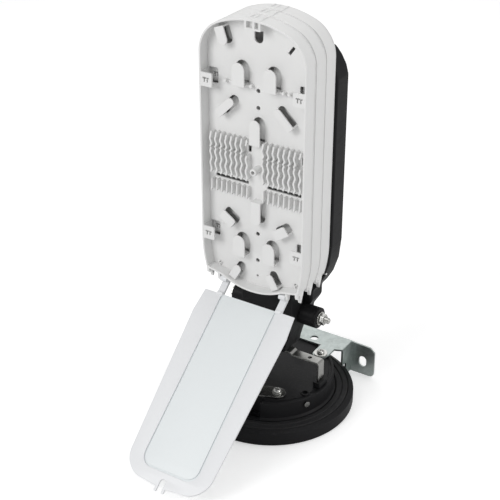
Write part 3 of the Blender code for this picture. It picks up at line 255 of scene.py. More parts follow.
# %% Dust and rub marks
marks, given, told = new_group(
    "Dust and rub marks",
    [("Color", "NodeSocketColor", (0.5, 0.5, 0.5, 1)), ("Dust color", "NodeSocketColor", (0.4, 0.4, 0.4, 1)),
     ("Dust", "NodeSocketFloat", 0.1), ("Rough in", "NodeSocketFloat", 0.4),
     ("Rubs", "NodeSocketFloat", 0.1)],
    [("Color", "NodeSocketColor"), ("Roughness", "NodeSocketFloat")])
place = node(marks, "ShaderNodeTexCoord")
about = node(marks, "ShaderNodeNewGeometry")
split = node(marks, "ShaderNodeSeparateXYZ")
upward = node(marks, "ShaderNodeMapRange", {"From Min": 0.2, "From Max": 1.0})
specks = node(marks, "ShaderNodeTexNoise", {"Scale": 340.0, "Detail": 6.0, "Roughness": 0.75})
sharp = node(marks, "ShaderNodeMapRange", {"From Min": 0.5, "From Max": 0.72})
both = node(marks, "ShaderNodeMath", operation="MULTIPLY")
share = node(marks, "ShaderNodeMath", operation="MULTIPLY")
blend = node(marks, "ShaderNodeMix", data_type="RGBA")
stretch = node(marks, "ShaderNodeMapping", {"Scale": (60.0, 60.0, 900.0)})
rubs = node(marks, "ShaderNodeTexNoise", {"Scale": 1.0, "Detail": 2.0})
high = node(marks, "ShaderNodeMapRange", {"From Min": 0.55, "From Max": 0.8})
rougher = node(marks, "ShaderNodeMath", operation="MULTIPLY_ADD")
wire(marks, [
    (about.outputs["Normal"], split.inputs[0]),
    (split.outputs["Z"], upward.inputs["Value"]),
    (place.outputs["Object"], specks.inputs["Vector"]),
    (specks.outputs["Fac"], sharp.inputs["Value"]),
    (upward.outputs[0], both.inputs[0]),
    (sharp.outputs[0], both.inputs[1]),
    (both.outputs[0], share.inputs[0]),
    (given.outputs["Dust"], share.inputs[1]),
    (share.outputs[0], blend.inputs["Factor"]),
    (given.outputs["Color"], blend.inputs[6]),
    (given.outputs["Dust color"], blend.inputs[7]),
    (place.outputs["Object"], stretch.inputs["Vector"]),
    (stretch.outputs[0], rubs.inputs["Vector"]),
    (rubs.outputs["Fac"], high.inputs["Value"]),
    (high.outputs[0], rougher.inputs[0]),
    (given.outputs["Rubs"], rougher.inputs[1]),
    (given.outputs["Rough in"], rougher.inputs[2]),
    (blend.outputs[2], told.inputs["Color"]),
    (rougher.outputs[0], told.inputs["Roughness"])])
print("node groups:", [g.name for g in bpy.data.node_groups])

# %% [markdown]
# ## Plastics
# The trays are white with a satin tool finish. The black parts are a glass-filled plastic with a
# coarser grain. The seal and the plugs are rubber, rougher and a little dusty. Each is one material
# with its own Principled shader, fed by the two groups and by a bump for the grain.


# %% Plastics
def placed(tree, group, values):
    made = tree.nodes.new("ShaderNodeGroup")
    made.node_tree = group
    for key, value in values.items():
        made.inputs[key].default_value = value
    return made


def moulded(name, color, roughness, spread, cloud, grain_size, bump, dust, dust_color, rubs):
    """A moulded plastic, and its shader for what only this plastic sets."""
    made, tree, shader = new_material(name)
    base = placed(tree, grain, {"Color": (*color, 1), "Cloud": cloud, "Grain size": grain_size,
                                "Roughness": roughness, "Spread": spread})
    worn = placed(tree, marks, {"Dust": dust, "Dust color": (*dust_color, 1), "Rubs": rubs})
    relief = node(tree, "ShaderNodeBump", {"Strength": bump, "Distance": 0.0002})
    wire(tree, [
        (base.outputs["Color"], worn.inputs["Color"]),
        (base.outputs["Roughness"], worn.inputs["Rough in"]),
        (base.outputs["Height"], relief.inputs["Height"]),
        (worn.outputs["Color"], shader.inputs["Base Color"]),
        (worn.outputs["Roughness"], shader.inputs["Roughness"]),
        (relief.outputs[0], shader.inputs["Normal"])])
    return made, shader


tray_white, shader = moulded("white_tray_plastic", (0.79, 0.79, 0.785), 0.45, 0.1, 0.05, 1400.0, 0.12,
                             0.1, (0.6, 0.59, 0.57), 0.08)
shader.inputs["Specular IOR Level"].default_value = 0.45
lid_white, shader = moulded("pale_lid_plastic", (0.8, 0.81, 0.825), 0.45, 0.08, 0.03, 700.0, 0.05,
                            0.08, (0.62, 0.61, 0.6), 0.1)
shader.inputs["Coat Weight"].default_value = 0.1
shader.inputs["Coat Roughness"].default_value = 0.12
lid_panel_white, shader = moulded("lid_window_plastic", (0.8, 0.835, 0.845), 0.45, 0.06, 0.02, 500.0,
                                  0.03, 0.06, (0.62, 0.61, 0.6), 0.12)
black_plastic, shader = moulded("black_filled_plastic", (0.013, 0.013, 0.014), 0.42, 0.16, 0.5, 1100.0,
                                0.3, 0.12, (0.1, 0.098, 0.095), 0.15)
shader.inputs["Specular IOR Level"].default_value = 0.12
rubber, shader = moulded("black_seal_rubber", (0.02, 0.02, 0.021), 0.6, 0.14, 0.4, 1700.0, 0.25, 0.2,
                         (0.09, 0.088, 0.085), 0.1)
shader.inputs["Specular IOR Level"].default_value = 0.18
plastics = (tray_white, lid_white, lid_panel_white, black_plastic, rubber)
print("plastics:", [plastic.name for plastic in plastics])

# %% [markdown]
# ## Metals
# The bracket is galvanised sheet: zinc freezes in flat crystals, the spangle, and each one mirrors
# the light a little differently. An even noise could stand for it, but Voronoi cells give one
# value to each crystal, as zinc does.

# %% Galvanised sheet
galvanised, tree, shader = new_material("galvanised_sheet")
place = node(tree, "ShaderNodeTexCoord")
bend = node(tree, "ShaderNodeTexNoise", {"Scale": 90.0, "Detail": 2.0})
warp = node(tree, "ShaderNodeMix", {"Factor": 0.04}, data_type="VECTOR")
crystal = node(tree, "ShaderNodeTexVoronoi", {"Scale": 210.0})
tone = node(tree, "ShaderNodeMapRange", {"To Min": 0.34, "To Max": 0.44})
ramp = node(tree, "ShaderNodeValToRGB")
ramp.color_ramp.elements[0].color = (0.48, 0.53, 0.515, 1)
ramp.color_ramp.elements[1].color = (0.56, 0.61, 0.595, 1)
facet = node(tree, "ShaderNodeBump", {"Strength": 0.05, "Distance": 0.0003})
worn = placed(tree, marks, {"Dust": 0.15, "Dust color": (0.36, 0.36, 0.35, 1), "Rubs": 0.15})
wire(tree, [
    (place.outputs["Object"], bend.inputs["Vector"]),
    (place.outputs["Object"], warp.inputs[4]),
    (bend.outputs["Color"], warp.inputs[5]),
    (warp.outputs[1], crystal.inputs["Vector"])])
split = node(tree, "ShaderNodeSeparateColor")
wire(tree, [
    (crystal.outputs["Color"], split.inputs[0]),
    (split.outputs[0], ramp.inputs[0]),
    (split.outputs[1], tone.inputs["Value"]),
    (split.outputs[2], facet.inputs["Height"]),
    (ramp.outputs[0], worn.inputs["Color"]),
    (tone.outputs[0], worn.inputs["Rough in"]),
    (worn.outputs["Color"], shader.inputs["Base Color"]),
    (worn.outputs["Roughness"], shader.inputs["Roughness"]),
    (facet.outputs[0], shader.inputs["Normal"])])
shader.inputs["Metallic"].default_value = 1.0

print("metal:", galvanised.name)

# %% [markdown]
# The strap, the strip and the screws are zinc plated, with fine lines along the metal from the
# drawing. One noise, stretched a long way, makes the lines in colour, gloss and relief together.
# The three steels differ only in how light and how smooth they are. They are the same zinc: the strap's
# darker copy carries painted shade, and the darker one for the strip and the earth screw carries a painted
# dark reflection.


# %% Drawn steel
def drawn_steel(name, low, high, smooth, rough):
    made, tree, shader = new_material(name)
    place = node(tree, "ShaderNodeTexCoord")
    stretch = node(tree, "ShaderNodeMapping", {"Scale": (80.0, 2600.0, 2600.0)})
    lines = node(tree, "ShaderNodeTexNoise", {"Scale": 1.0, "Detail": 3.0})
    ramp = node(tree, "ShaderNodeValToRGB")
    ramp.color_ramp.elements[0].color = (low, low, low * 0.965, 1)
    ramp.color_ramp.elements[1].color = (high, high, high * 0.96, 1)
    tone = node(tree, "ShaderNodeMapRange", {"To Min": smooth, "To Max": rough})
    drawn = node(tree, "ShaderNodeBump", {"Strength": 0.1, "Distance": 0.0001})
    worn = placed(tree, marks, {"Dust": 0.12, "Dust color": (0.3, 0.3, 0.29, 1), "Rubs": 0.12})
    wire(tree, [
        (place.outputs["Object"], stretch.inputs["Vector"]),
        (stretch.outputs[0], lines.inputs["Vector"]),
        (lines.outputs["Fac"], ramp.inputs[0]),
        (lines.outputs["Fac"], tone.inputs["Value"]),
        (lines.outputs["Fac"], drawn.inputs["Height"]),
        (ramp.outputs[0], worn.inputs["Color"]),
        (tone.outputs[0], worn.inputs["Rough in"]),
        (worn.outputs["Color"], shader.inputs["Base Color"]),
        (worn.outputs["Roughness"], shader.inputs["Roughness"]),
        (drawn.outputs[0], shader.inputs["Normal"])])
    shader.inputs["Metallic"].default_value = 1.0
    return made


bright_zinc = drawn_steel("bright_zinc_steel", 0.5, 0.7, 0.18, 0.34)
# a darker copy of the same zinc: painted shade on the strap
strap_zinc_painted_shade = drawn_steel("drawn_strap_steel_painted_shade", 0.34, 0.52, 0.22, 0.38)
# darker still: a painted dark reflection, used on the strip and the earth screw
painted_dark_reflection_steel = drawn_steel("steel_with_painted_dark_reflection", 0.2, 0.34, 0.16, 0.3)
print("metals:", bright_zinc.name, strap_zinc_painted_shade.name, painted_dark_reflection_steel.name)

# %% [markdown]
# ## Helpers for moulded shapes
# Most of this part is flat shapes with rounded edges: walls, tabs, ribs and plates. Blender's 2D
# curve fills an outline with its holes, gives it thickness, and rounds its edges in one step.
# A negative offset keeps the outline's own size, so the rounding doesn't make the piece bigger.
# Round parts are a profile turned about an axis. All sizes in these helpers are in mm.

# %% Outlines
TURNS = {"XY": Matrix(((1, 0, 0), (0, 1, 0), (0, 0, 1))).to_4x4(),
         "XZ": Matrix(((1, 0, 0), (0, 0, -1), (0, 1, 0))).to_4x4(),
         "YZ": Matrix(((0, 0, 1), (1, 0, 0), (0, 1, 0))).to_4x4()}
ACROSS = {"XY": Vector((0, 0, 1)), "XZ": Vector((0, 1, 0)), "YZ": Vector((1, 0, 0))}


def arc(center, radius, start, end, steps):
    turns = [radians(start + (end - start) * i / steps) for i in range(steps + 1)]
    return [(center[0] + radius * cos(a), center[1] + radius * sin(a)) for a in turns]


def ring(center, radius, steps=24):
    """A closed circle, as an outline."""
    return arc(center, radius, 0, 360, steps)[:-1]


def mirrored(half):
    """A right half from bottom to top, closed by its mirror image."""
    return half + [(-x, y) for x, y in reversed(half) if x > 1e-6]


def rectangle(low, high):
    return [(low[0], low[1]), (high[0], low[1]), (high[0], high[1]), (low[0], high[1])]


def sided(side, near, far):
    """A span on one side of the middle plane, as a low and a high value."""
    return sorted((side * near, side * far))


def inset(points, distance):
    """The outline moved inward by a distance. It has to run counterclockwise."""
    moved = []
    for i, point in enumerate(points):
        normals = []
        for a, b in ((points[i - 1], point), (point, points[(i + 1) % len(points)])):
            length = hypot(b[0] - a[0], b[1] - a[1])
            normals.append(((a[1] - b[1]) / length, (b[0] - a[0]) / length))
        (ax, ay), (bx, by) = normals
        share = distance / (1 + ax * bx + ay * by)
        moved.append((point[0] + (ax + bx) * share, point[1] + (ay + by) * share))
    return moved


def rounded_corners(points, radius, steps=4, keep=()):
    """The outline with each corner turned into a small arc, but for the ones to keep."""
    made = []
    for i, point in enumerate(points):
        here = Vector(point)
        back = Vector(points[i - 1]) - here
        ahead = Vector(points[(i + 1) % len(points)]) - here
        half = back.angle(ahead) / 2
        if i in keep or half > radians(84):
            made.append(point)
            continue
        reach = min(radius / max(sin(half) / cos(half), 1e-6), back.length * 0.45, ahead.length * 0.45)
        a = here + back.normalized() * reach
        b = here + ahead.normalized() * reach
        for k in range(steps + 1):
            t = k / steps
            made.append(tuple(a * (1 - t) ** 2 + here * 2 * t * (1 - t) + b * t ** 2))
    return made


print("planes:", sorted(TURNS))

# %% [markdown]
# A plate is an outline with thickness, and a turned part is a profile spun about its axis. Both go
# into a pile, a bmesh that collects all the pieces of one moulding before it becomes an object.


# %% Plates and turned parts
def plate(pile, outlines, low, high, plane, edge=0.3, rounds=2):
    """Adds a plate with rounded edges to a bmesh pile. Each further outline is a hole."""
    curve = bpy.data.curves.new("outline", "CURVE")
    curve.dimensions = "2D"
    curve.fill_mode = "BOTH"
    curve.extrude = max((high - low) / 2 - edge, 0.0) * MM
    curve.bevel_depth = edge * MM
    curve.bevel_resolution = rounds
    curve.offset = -edge * MM
    for outline in outlines:
        line = curve.splines.new("POLY")
        line.points.add(len(outline) - 1)
        for point, (x, y) in zip(line.points, outline):
            point.co = (x * MM, y * MM, 0, 1)
        line.use_cyclic_u = True
    thing = bpy.data.objects.new("outline", curve)
    bpy.context.scene.collection.objects.link(thing)
    bpy.context.view_layer.update()
    mesh = bpy.data.meshes.new_from_object(thing.evaluated_get(bpy.context.evaluated_depsgraph_get()))
    mesh.transform(Matrix.Translation(ACROSS[plane] * ((high + low) / 2 * MM)) @ TURNS[plane])
    pile.from_mesh(mesh)
    bpy.data.objects.remove(thing, do_unlink=True)
    bpy.data.curves.remove(curve)
    bpy.data.meshes.remove(mesh)
    return pile


def turned(pile, profile, steps=48, place=(0, 0, 0), plane="XY"):
    """Adds a profile of (radius, height) points, turned about the axis across the plane."""
    part = bmesh.new()
    corners = [part.verts.new((r * MM, 0, z * MM)) for r, z in profile]
    edges = [part.edges.new(pair) for pair in zip(corners, corners[1:])]
    if profile[0][0] > 1e-6:
        edges.append(part.edges.new((corners[-1], corners[0])))
    bmesh.ops.spin(part, geom=corners + edges, axis=(0, 0, 1), cent=(0, 0, 0), steps=steps,
                   angle=2 * pi, use_merge=True)
    bmesh.ops.remove_doubles(part, verts=part.verts, dist=1e-6)
    bmesh.ops.recalc_face_normals(part, faces=part.faces)
    bmesh.ops.transform(part, matrix=Matrix.Translation(Vector(place) * MM) @ TURNS[plane], verts=part.verts)
    mesh = bpy.data.meshes.new("turned")
    part.to_mesh(mesh)
    part.free()
    pile.from_mesh(mesh)
    bpy.data.meshes.remove(mesh)
    return pile


# %% [markdown]
# Holes and pockets are cut with Boolean modifiers that are applied at once, and the last edges are
# rounded by a bevel. A CAD solid that is simple enough is shown as it stands, with a finish and a
# bevel. All others get an object of their own that rides on the solid's body and replaces it.


# %% Finishing, cutting and rounding
def finished(pile, name, material, smooth=32):
    """A shown object from a pile, with welded seams and smooth rounds."""
    bmesh.ops.remove_doubles(pile, verts=pile.verts, dist=2e-6)
    mesh = bpy.data.meshes.new(name)
    pile.to_mesh(mesh)
    pile.free()
    mesh.materials.append(material)
    mesh.shade_smooth()
    mesh.set_sharp_from_angle(angle=radians(smooth))
    made = bpy.data.objects.new(name, mesh)
    bpy.context.scene.collection.objects.link(made)
    return made


def carved(body, tools, operation="DIFFERENCE"):
    """Cuts the tools out of a body, or joins them to it, and clears the tools away."""
    group = bpy.data.collections.new("tools")
    for tool in tools:
        group.objects.link(tool)
    change = body.modifiers.new("tools", "BOOLEAN")
    change.operation = operation
    change.operand_type = "COLLECTION"
    change.collection = group
    change.solver = "EXACT"
    bpy.context.view_layer.update()
    graph = bpy.context.evaluated_depsgraph_get()
    mesh = bpy.data.meshes.new_from_object(body.evaluated_get(graph))
    body.modifiers.clear()
    body.data = mesh
    for tool in tools:
        bpy.data.objects.remove(tool, do_unlink=True)
    bpy.data.collections.remove(group)
    return body


def cutter(outlines, low, high, plane="XY"):
    """A sharp-edged solid to cut or join with."""
    return finished(plate(bmesh.new(), outlines, low, high, plane, 0.0), "cutter", black_plastic)


def soften(thing, width, segments=2, limit=38):
    """Joins triangles to flats, and then rounds the edges."""
    weld = thing.modifiers.new("weld", "WELD")
    weld.merge_threshold = 0.00001
    flats = thing.modifiers.new("flats", "DECIMATE")
    flats.decimate_type = "DISSOLVE"
    flats.angle_limit = radians(0.5)
    edges = thing.modifiers.new("edges", "BEVEL")
    edges.width = width * MM
    edges.segments = segments
    edges.limit_method = "ANGLE"
    edges.angle_limit = radians(limit)
    return thing


def dressed(name, material, width, segments=2):
    """A CAD solid shown as it stands, with its own finish and rounded edges."""
    nodes[name].data.materials.clear()
    nodes[name].data.materials.append(material)
    return soften(nodes[name], width, segments)


def shown(thing, name, body="stand"):
    """Makes an object the look of one CAD solid."""
    even = thing.modifiers.new("even_normals", "WEIGHTED_NORMAL")
    even.keep_sharp = True
    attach(thing, body)
    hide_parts(name)
    return thing


# %% [markdown]
# ## The splice tray
# The real tray is one white moulding: a wall round a thin floor, with slots, tongues that keep the
# fibre loops down, and two blocks of combs that grip the splice sleeves. It could be cut from
# one block, but rounded plates laid into each other give the soft moulded edges that catch light.

# %% The tray's outline
TRAY_LENGTH = 266
HALF_WIDTH = 55
CHIN_HALF = 33
CHIN_RISE = 8.5
SIDE_START = 45
SIDE_RUN = 33
SIDE_TAPER = 4.5
TOP_RADIUS = 90
CORNER_RADIUS = 33
FLOOR_Y = 11.7
FLOOR = 1.8
WALL = 2
DEEP = FLOOR_Y + 0.6


def bow_radius(half, rise):
    """The radius of a bow that rises by this much over half its chord."""
    return (half ** 2 + rise ** 2) / (2 * rise)


def tray_outline():
    """A bowed chin, sides that taper to it, and a bowed top between two round corners."""
    chin = bow_radius(CHIN_HALF, CHIN_RISE)
    spread = degrees(atan2(CHIN_HALF, chin - CHIN_RISE))
    right = arc((0, chin), chin, -90, -90 + spread, 12)
    side = bow_radius(SIDE_RUN, SIDE_TAPER)
    sweep = degrees(atan2(SIDE_RUN, side - SIDE_TAPER))
    right += arc((HALF_WIDTH - side, SIDE_START), side, -sweep, 0, 10)
    top = TRAY_LENGTH - TOP_RADIUS
    corner_x = HALF_WIDTH - CORNER_RADIUS
    corner_z = top + sqrt((TOP_RADIUS - CORNER_RADIUS) ** 2 - corner_x ** 2)
    turn = degrees(atan2(corner_z - top, corner_x))
    right += arc((corner_x, corner_z), CORNER_RADIUS, 0, turn, 16)
    right += arc((0, top), TOP_RADIUS, turn, 90, 8)[1:]
    return mirrored(right)


outline = tray_outline()
print("tray outline:", len(outline), "points")

# %% [markdown]
# Tongues reach over the floor and keep the fibres from springing out. The mould needs an opening
# under each one, so every tongue has a slot of its own shape in the floor. Each tongue is written
# as a foot, a tip and a width, and the slot is made from the same three.


# %% Tongues and slots
def tab_outline(foot, tip, width, corner, steps=6):
    """A strip from its straight foot to a tip with rounded corners."""
    angle = atan2(tip[1] - foot[1], tip[0] - foot[0])
    ux, uz = cos(angle), sin(angle)
    half = width / 2
    spread = half - corner
    back = (tip[0] - ux * corner, tip[1] - uz * corner)
    turn = degrees(angle)
    points = arc((back[0] + uz * spread, back[1] - ux * spread), corner, turn - 90, turn, steps)
    points += arc((back[0] - uz * spread, back[1] + ux * spread), corner, turn, turn + 90, steps)[1:]
    if spread > 0.01:
        points.insert(steps + 1, (tip[0] - uz * spread, tip[1] + ux * spread))
    return points + [(foot[0] - uz * half, foot[1] + ux * half), (foot[0] + uz * half, foot[1] - ux * half)]


ROUND_TONGUES = [((-16.2, 32.5), (-16.2, 54), 13.2), ((16.2, 32.5), (16.2, 54), 13.2),
                 ((-16.2, 202), (-16.2, 223.5), 13.2), ((16.2, 202), (16.2, 223.5), 13.2),
                 ((1, 149), (1, 173.5), 11.2), ((2.4, 93.5), (2.4, 70), 10.2),
                 ((-38, 172), (-22, 188), 8), ((38, 172), (22, 188), 8),
                 ((-24, 7.5), (-16, 21.5), 8), ((24, 7.5), (16, 21.5), 8),
                 ((-36, 253), (-30.5, 237), 10)]
FLAPS = [((-31.5, 64.5), (-25.8, 72.7), 15.8, 2.5), ((31.5, 64.5), (25.8, 72.7), 15.8, 2.5)]
TONGUES = [tongue + (tongue[2] / 2,) for tongue in ROUND_TONGUES] + FLAPS
SLOT_MARGIN = 0.5
TONGUE_FRONT = 3.2
TONGUE_BACK = 4.8
ROOT_NEAR = 0.15
ROOT_FAR = 1.6


def tongue_slot(foot, tip, width, corner):
    length = hypot(tip[0] - foot[0], tip[1] - foot[1])
    ux, uz = (tip[0] - foot[0]) / length, (tip[1] - foot[1]) / length
    return tab_outline((foot[0] + ux * WALL, foot[1] + uz * WALL),
                       (tip[0] + ux * SLOT_MARGIN, tip[1] + uz * SLOT_MARGIN),
                       width + 2 * SLOT_MARGIN, corner + SLOT_MARGIN)


def add_tongue(pile, foot, tip, width, corner):
    """The tab on its root wall, with a rib along the foot where the two meet."""
    length = hypot(tip[0] - foot[0], tip[1] - foot[1])
    ux, uz = (tip[0] - foot[0]) / length, (tip[1] - foot[1]) / length
    plate(pile, [tab_outline(foot, tip, width, corner)], TONGUE_FRONT, TONGUE_BACK, "XZ", 0.5)
    px, pz = -uz * (width / 2 - ROOT_NEAR), ux * (width / 2 - ROOT_NEAR)
    near = (foot[0] + ux * ROOT_NEAR, foot[1] + uz * ROOT_NEAR)
    far = (foot[0] + ux * ROOT_FAR, foot[1] + uz * ROOT_FAR)
    root = [(near[0] - px, near[1] - pz), (far[0] - px, far[1] - pz), (far[0] + px, far[1] + pz),
            (near[0] + px, near[1] + pz)]
    plate(pile, [root], TONGUE_FRONT + 0.3, DEEP, "XZ", 0.35)


print("tongues:", len(TONGUES))

# %% [markdown]
# The combs hold the splice sleeves between ribs. On the real tray each rib snakes a little, so that
# a sleeve is gripped by its spring. A straight rib with a wave modifier would do, but an outline
# through a few (height, sway) points puts each bend where the photo has it.

# %% Combs
COMB_START = 8.6
COMB_PITCH = 5.5
COMB_RIBS = 8
COMB_X = [COMB_START + COMB_PITCH * i for i in range(COMB_RIBS)]
COMB_FRONT = 4.9
FOOT_FRONT = 6.2
BEAM_FRONT = 8.2
RIB_HALF = 0.95
FOOT_HALF = 0.75
COMB_LOW = 112.4
UPPER_RIB = [(137.6, -0.7), (140.6, 0.8), (145.6, -0.7), (149.6, 0.2), (152.2, 0.6)]
SHORT_RIB = [(146.8, -0.6), (149.6, 0.2), (152.2, 0.6)]
LOWER_RIB = [(COMB_LOW, -0.2), (115.6, 0.8), (121.4, -0.7), (127.2, 0.9), (133, -0.7), (136.6, 0.2)]
FOOT_RIB = [(93.4, -0.7), (97, -0.1), (104.6, 0.1)]
HOLED_RIBS = [(-1, 0), (1, COMB_RIBS - 1)]


def wave(x, levels, half):
    """The outline of a rib that runs up through (height, sway) points in soft bends."""
    middle = []
    for (z0, s0), (z1, s1) in zip(levels, levels[1:]):
        for k in range(4):
            t = k / 4
            middle.append((x + s0 + (s1 - s0) * (3 * t * t - 2 * t ** 3), z0 + (z1 - z0) * t))
    middle.append((x + levels[-1][1], levels[-1][0]))
    low = (middle[0][0], middle[0][1] - half * 0.8)
    high = (middle[-1][0], middle[-1][1] + half * 0.8)
    return [low] + [(u + half, z) for u, z in middle] + [high] + [(u - half, z) for u, z in middle[::-1]]


def add_combs(pile):
    """Long ribs that sway, and short ones below. A low beam joins the feet of the end ribs."""
    for side in (-1, 1):
        for i, x in enumerate(COMB_X):
            u = side * x
            holed = (side, i) in HOLED_RIBS
            for levels in (SHORT_RIB if holed else UPPER_RIB, LOWER_RIB):
                plate(pile, [wave(u, levels, RIB_HALF)], COMB_FRONT, DEEP, "XZ", 0.35, 1)
            plate(pile, [wave(u, FOOT_RIB, FOOT_HALF)], FOOT_FRONT, DEEP, "XZ", 0.35, 1)
            if i in (0, COMB_RIBS - 1):
                low, high = sorted((u - side * 0.9, u + side * 0.5))
                beam = rectangle((low, COMB_LOW), (high, 137 if holed else 151))
                plate(pile, [beam], BEAM_FRONT, DEEP, "XZ", 0.3, 1)


print("ribs:", 2 * len(COMB_X), "long and", 2 * len(COMB_X), "short")

# %% [markdown]
# The floor is one sheet with openings for the tongues, the clips and the combs, and round holes.
# They could be cut one after another. As holes in one outline they are filled in one step, and the
# edges of all of them come out rounded.


# %% The floor with all its openings
CLIP_Z = (196, 43)


def clip_mark(x, z):
    """A slot with two legs, as an outline."""
    top = [(x - 3.4, z + 4.6), (x - 3.4, z + 3.2), (x - 2.2, z + 3.2), (x - 2.2, z), (x - 0.9, z)]
    return top + [(x - 0.9, z + 3.2), (x + 1, z + 3.2), (x + 1, z), (x + 2.3, z), (x + 2.3, z + 3.2),
                  (x + 3.4, z + 3.2), (x + 3.4, z + 4.6)]


def floor_openings():
    cuts = [tongue_slot(*tongue) for tongue in TONGUES]
    cuts += [ring((0, z), 2, 24) for z in (198.5, 182.5, 57.2, 29.2)]
    cuts += [ring((0, 12.5), 1.2, 16), tab_outline((0.4, 253), (0.4, 242), 8.8, 4.4),
             tab_outline((30.7, 237.8), (35.7, 244.7), 2.8, 0.8, 3)]
    for side in (-1, 1):
        x = sided(side, 10.1, 45.6)
        cuts.append(rounded_corners(rectangle((x[0], 106.0), (x[1], 109.0)), 0.5))
        x = sided(side, 42, 52)
        for z in CLIP_Z:
            cuts.append(rounded_corners(rectangle((x[0], z + 1), (x[1], z + 15.5)), 1.6))
    for side, i in HOLED_RIBS:
        x = side * COMB_X[i]
        cuts.append(rounded_corners(rectangle((x - 1.6, 138.3), (x + 1.6, 145.6)), 1.5))
    return cuts


def side_band(outer, inner):
    """A band between two outlines that leaves out the chin, as one outline."""
    pairs = [(p, q) for p, q in zip(outer, inner) if abs(p[0]) > 35 or p[1] > 20]
    return [p for p, q in pairs] + [q for p, q in reversed(pairs)]


def add_shell(pile):
    """The wall, a thinner heel that leaves a groove before the next tray, and the floor."""
    inner = inset(outline, WALL)
    plate(pile, [outline, inner], 0, 15.4, "XZ", 0.6, 3)
    plate(pile, [side_band(inset(outline, 1.0), inner)], 14.4, 17, "XZ", 0.25, 1)
    plate(pile, [side_band(outline, inner)], 13.4, 16.1, "XZ", 0.5, 2)
    plate(pile, [inset(outline, WALL * 0.6)] + floor_openings(), FLOOR_Y, FLOOR_Y + FLOOR, "XZ", 0.25, 1)


print("openings in the floor:", len(floor_openings()))

# %% [markdown]
# Small mouldings stand on the floor and the wall: clips that hold the lid, a catch at the top, a
# thin rib across, and a boss that stands proud between the combs. Each is a plate or a turned part
# whose foot is sunk into the floor, so no seam shows.


# %% Clips, catch, ribs and boss
def add_clips(pile):
    """A clip plate at each side, with a slot cut in it, on a gusset that stands on the wall."""
    for z in CLIP_Z:
        for side in (-1, 1):
            x = sided(side, 41.5, 54)
            mark = clip_mark(side * 47.8, z + 4.6)
            face = rounded_corners(rectangle((x[0], z + 0.5), (x[1], z + 13.6)), 1.4)
            plate(pile, [face, mark], 0.2, 2.2, "XZ", 0.35)
            x = sided(side, 43, 52.6)
            pad = rounded_corners(rectangle((x[0], z + 2.4), (x[1], z + 11.6)), 1.2)
            plate(pile, [pad], 3.6, 4.6, "XZ", 0.3)
            x = sided(side, 52.2, 54.4)
            plate(pile, [rectangle((x[0], z), (x[1], z + 14))], 0.3, 12.2, "XZ", 0.4)


def add_trim(pile):
    """The catch at the top, the rib across with its studs, the boss, and the corner marks."""
    catch = rounded_corners(rectangle((-7.2, 256.5), (9.2, 266.3)), 1.0)
    window = rounded_corners(rectangle((-5, 258.4), (7, 264.4)), 0.6)
    plate(pile, [catch, window], -0.1, 5.9, "XZ", 0.35)
    plate(pile, [rectangle((-6.5, 257.2), (8.5, 265.4))], 4.2, 5.8, "XZ", 0.3)
    plate(pile, [rectangle((0.6, 258), (3.0, 265))], 0.4, 5, "XZ", 0.4)
    for x in (-6.2, -1.2, 6.8):
        plate(pile, [rectangle((x, 264.2), (x + 1.6, 266.7))], 5, 14, "XZ", 0.35)
    for x0, x1 in ((-29, -8), (8.5, 25)):
        plate(pile, [rectangle((x0, 202), (x1, 203.4))], 8.7, DEEP, "XZ", 0.3)
    for x in (-32.5, -5.5, 27.5, 33.5):
        turned(pile, [(0, 5.2), (1.2, 5.1), (1.7, 4.6), (1.7, 0), (0, 0)], 16, (x, DEEP, 202.7), "XZ")
    boss = [(1.9, 11.5), (2.4, 11.5), (3.3, 11), (3.6, 10.4), (3.6, 0), (1.9, 0)]
    turned(pile, boss, 32, (1, DEEP, 124), "XZ")
    for side in (-1, 1):
        x = side * 41.8
        plate(pile, [rectangle((x - 0.5, 9), (x + 0.5, 16))], 9.6, DEEP, "XZ", 0.25, 1)
        plate(pile, [rectangle((x - 2, 15), (x + 2, 16))], 9.6, DEEP, "XZ", 0.25, 1)
    plate(pile, [rectangle((-41.6, 58.2), (-26.8, 59.2))], 10.9, DEEP, "XZ", 0.3, 1)


# %% [markdown]
# Each tray hangs on the one behind it by two arms with pins, which snap into jaws and let it fold
# forward. A pair of lugs under the front carries the lid's pins. They are plates seen from the
# side, so their outlines are drawn in the plane of the swing.


# %% Jaws, arms and pins
HINGE_Y = 3.7
HINGE_Z = 8.5
TRAY_PITCH = 17.3
PIN_RADIUS = 1.2
LID_PIN_Y = 4.2
LID_PIN_Z = 3.2


def jaw_outline():
    """A notch for the pin between a front lip and a horn."""
    notch = arc((HINGE_Y, HINGE_Z), 1.5, 180, 0, 10)
    front = [(0.3, 14), (0.3, 9.5), (0.9, 7), (1.8, 7)]
    horn = [(5.2, 6.5), (5.9, 4.2), (6.4, 1.9), (6.9, 0.6), (7.4, 0.2), (8.0, 0.7), (8.6, 2.4), (10, 5.6),
            (11, 8), (12.7, 14)]
    return front + notch + horn


def arm_outline():
    """An arm that reaches back to the pin in the next tray's jaw."""
    points = [(12.5, 13), (12.5, 9.5), (14, 8.2), (15.5, 7.0), (18, 6.6)]
    points += arc((TRAY_PITCH + HINGE_Y, HINGE_Z), 1.8, -90, 90, 10)
    return points + [(16.7, 10.3), (16.7, 13)]


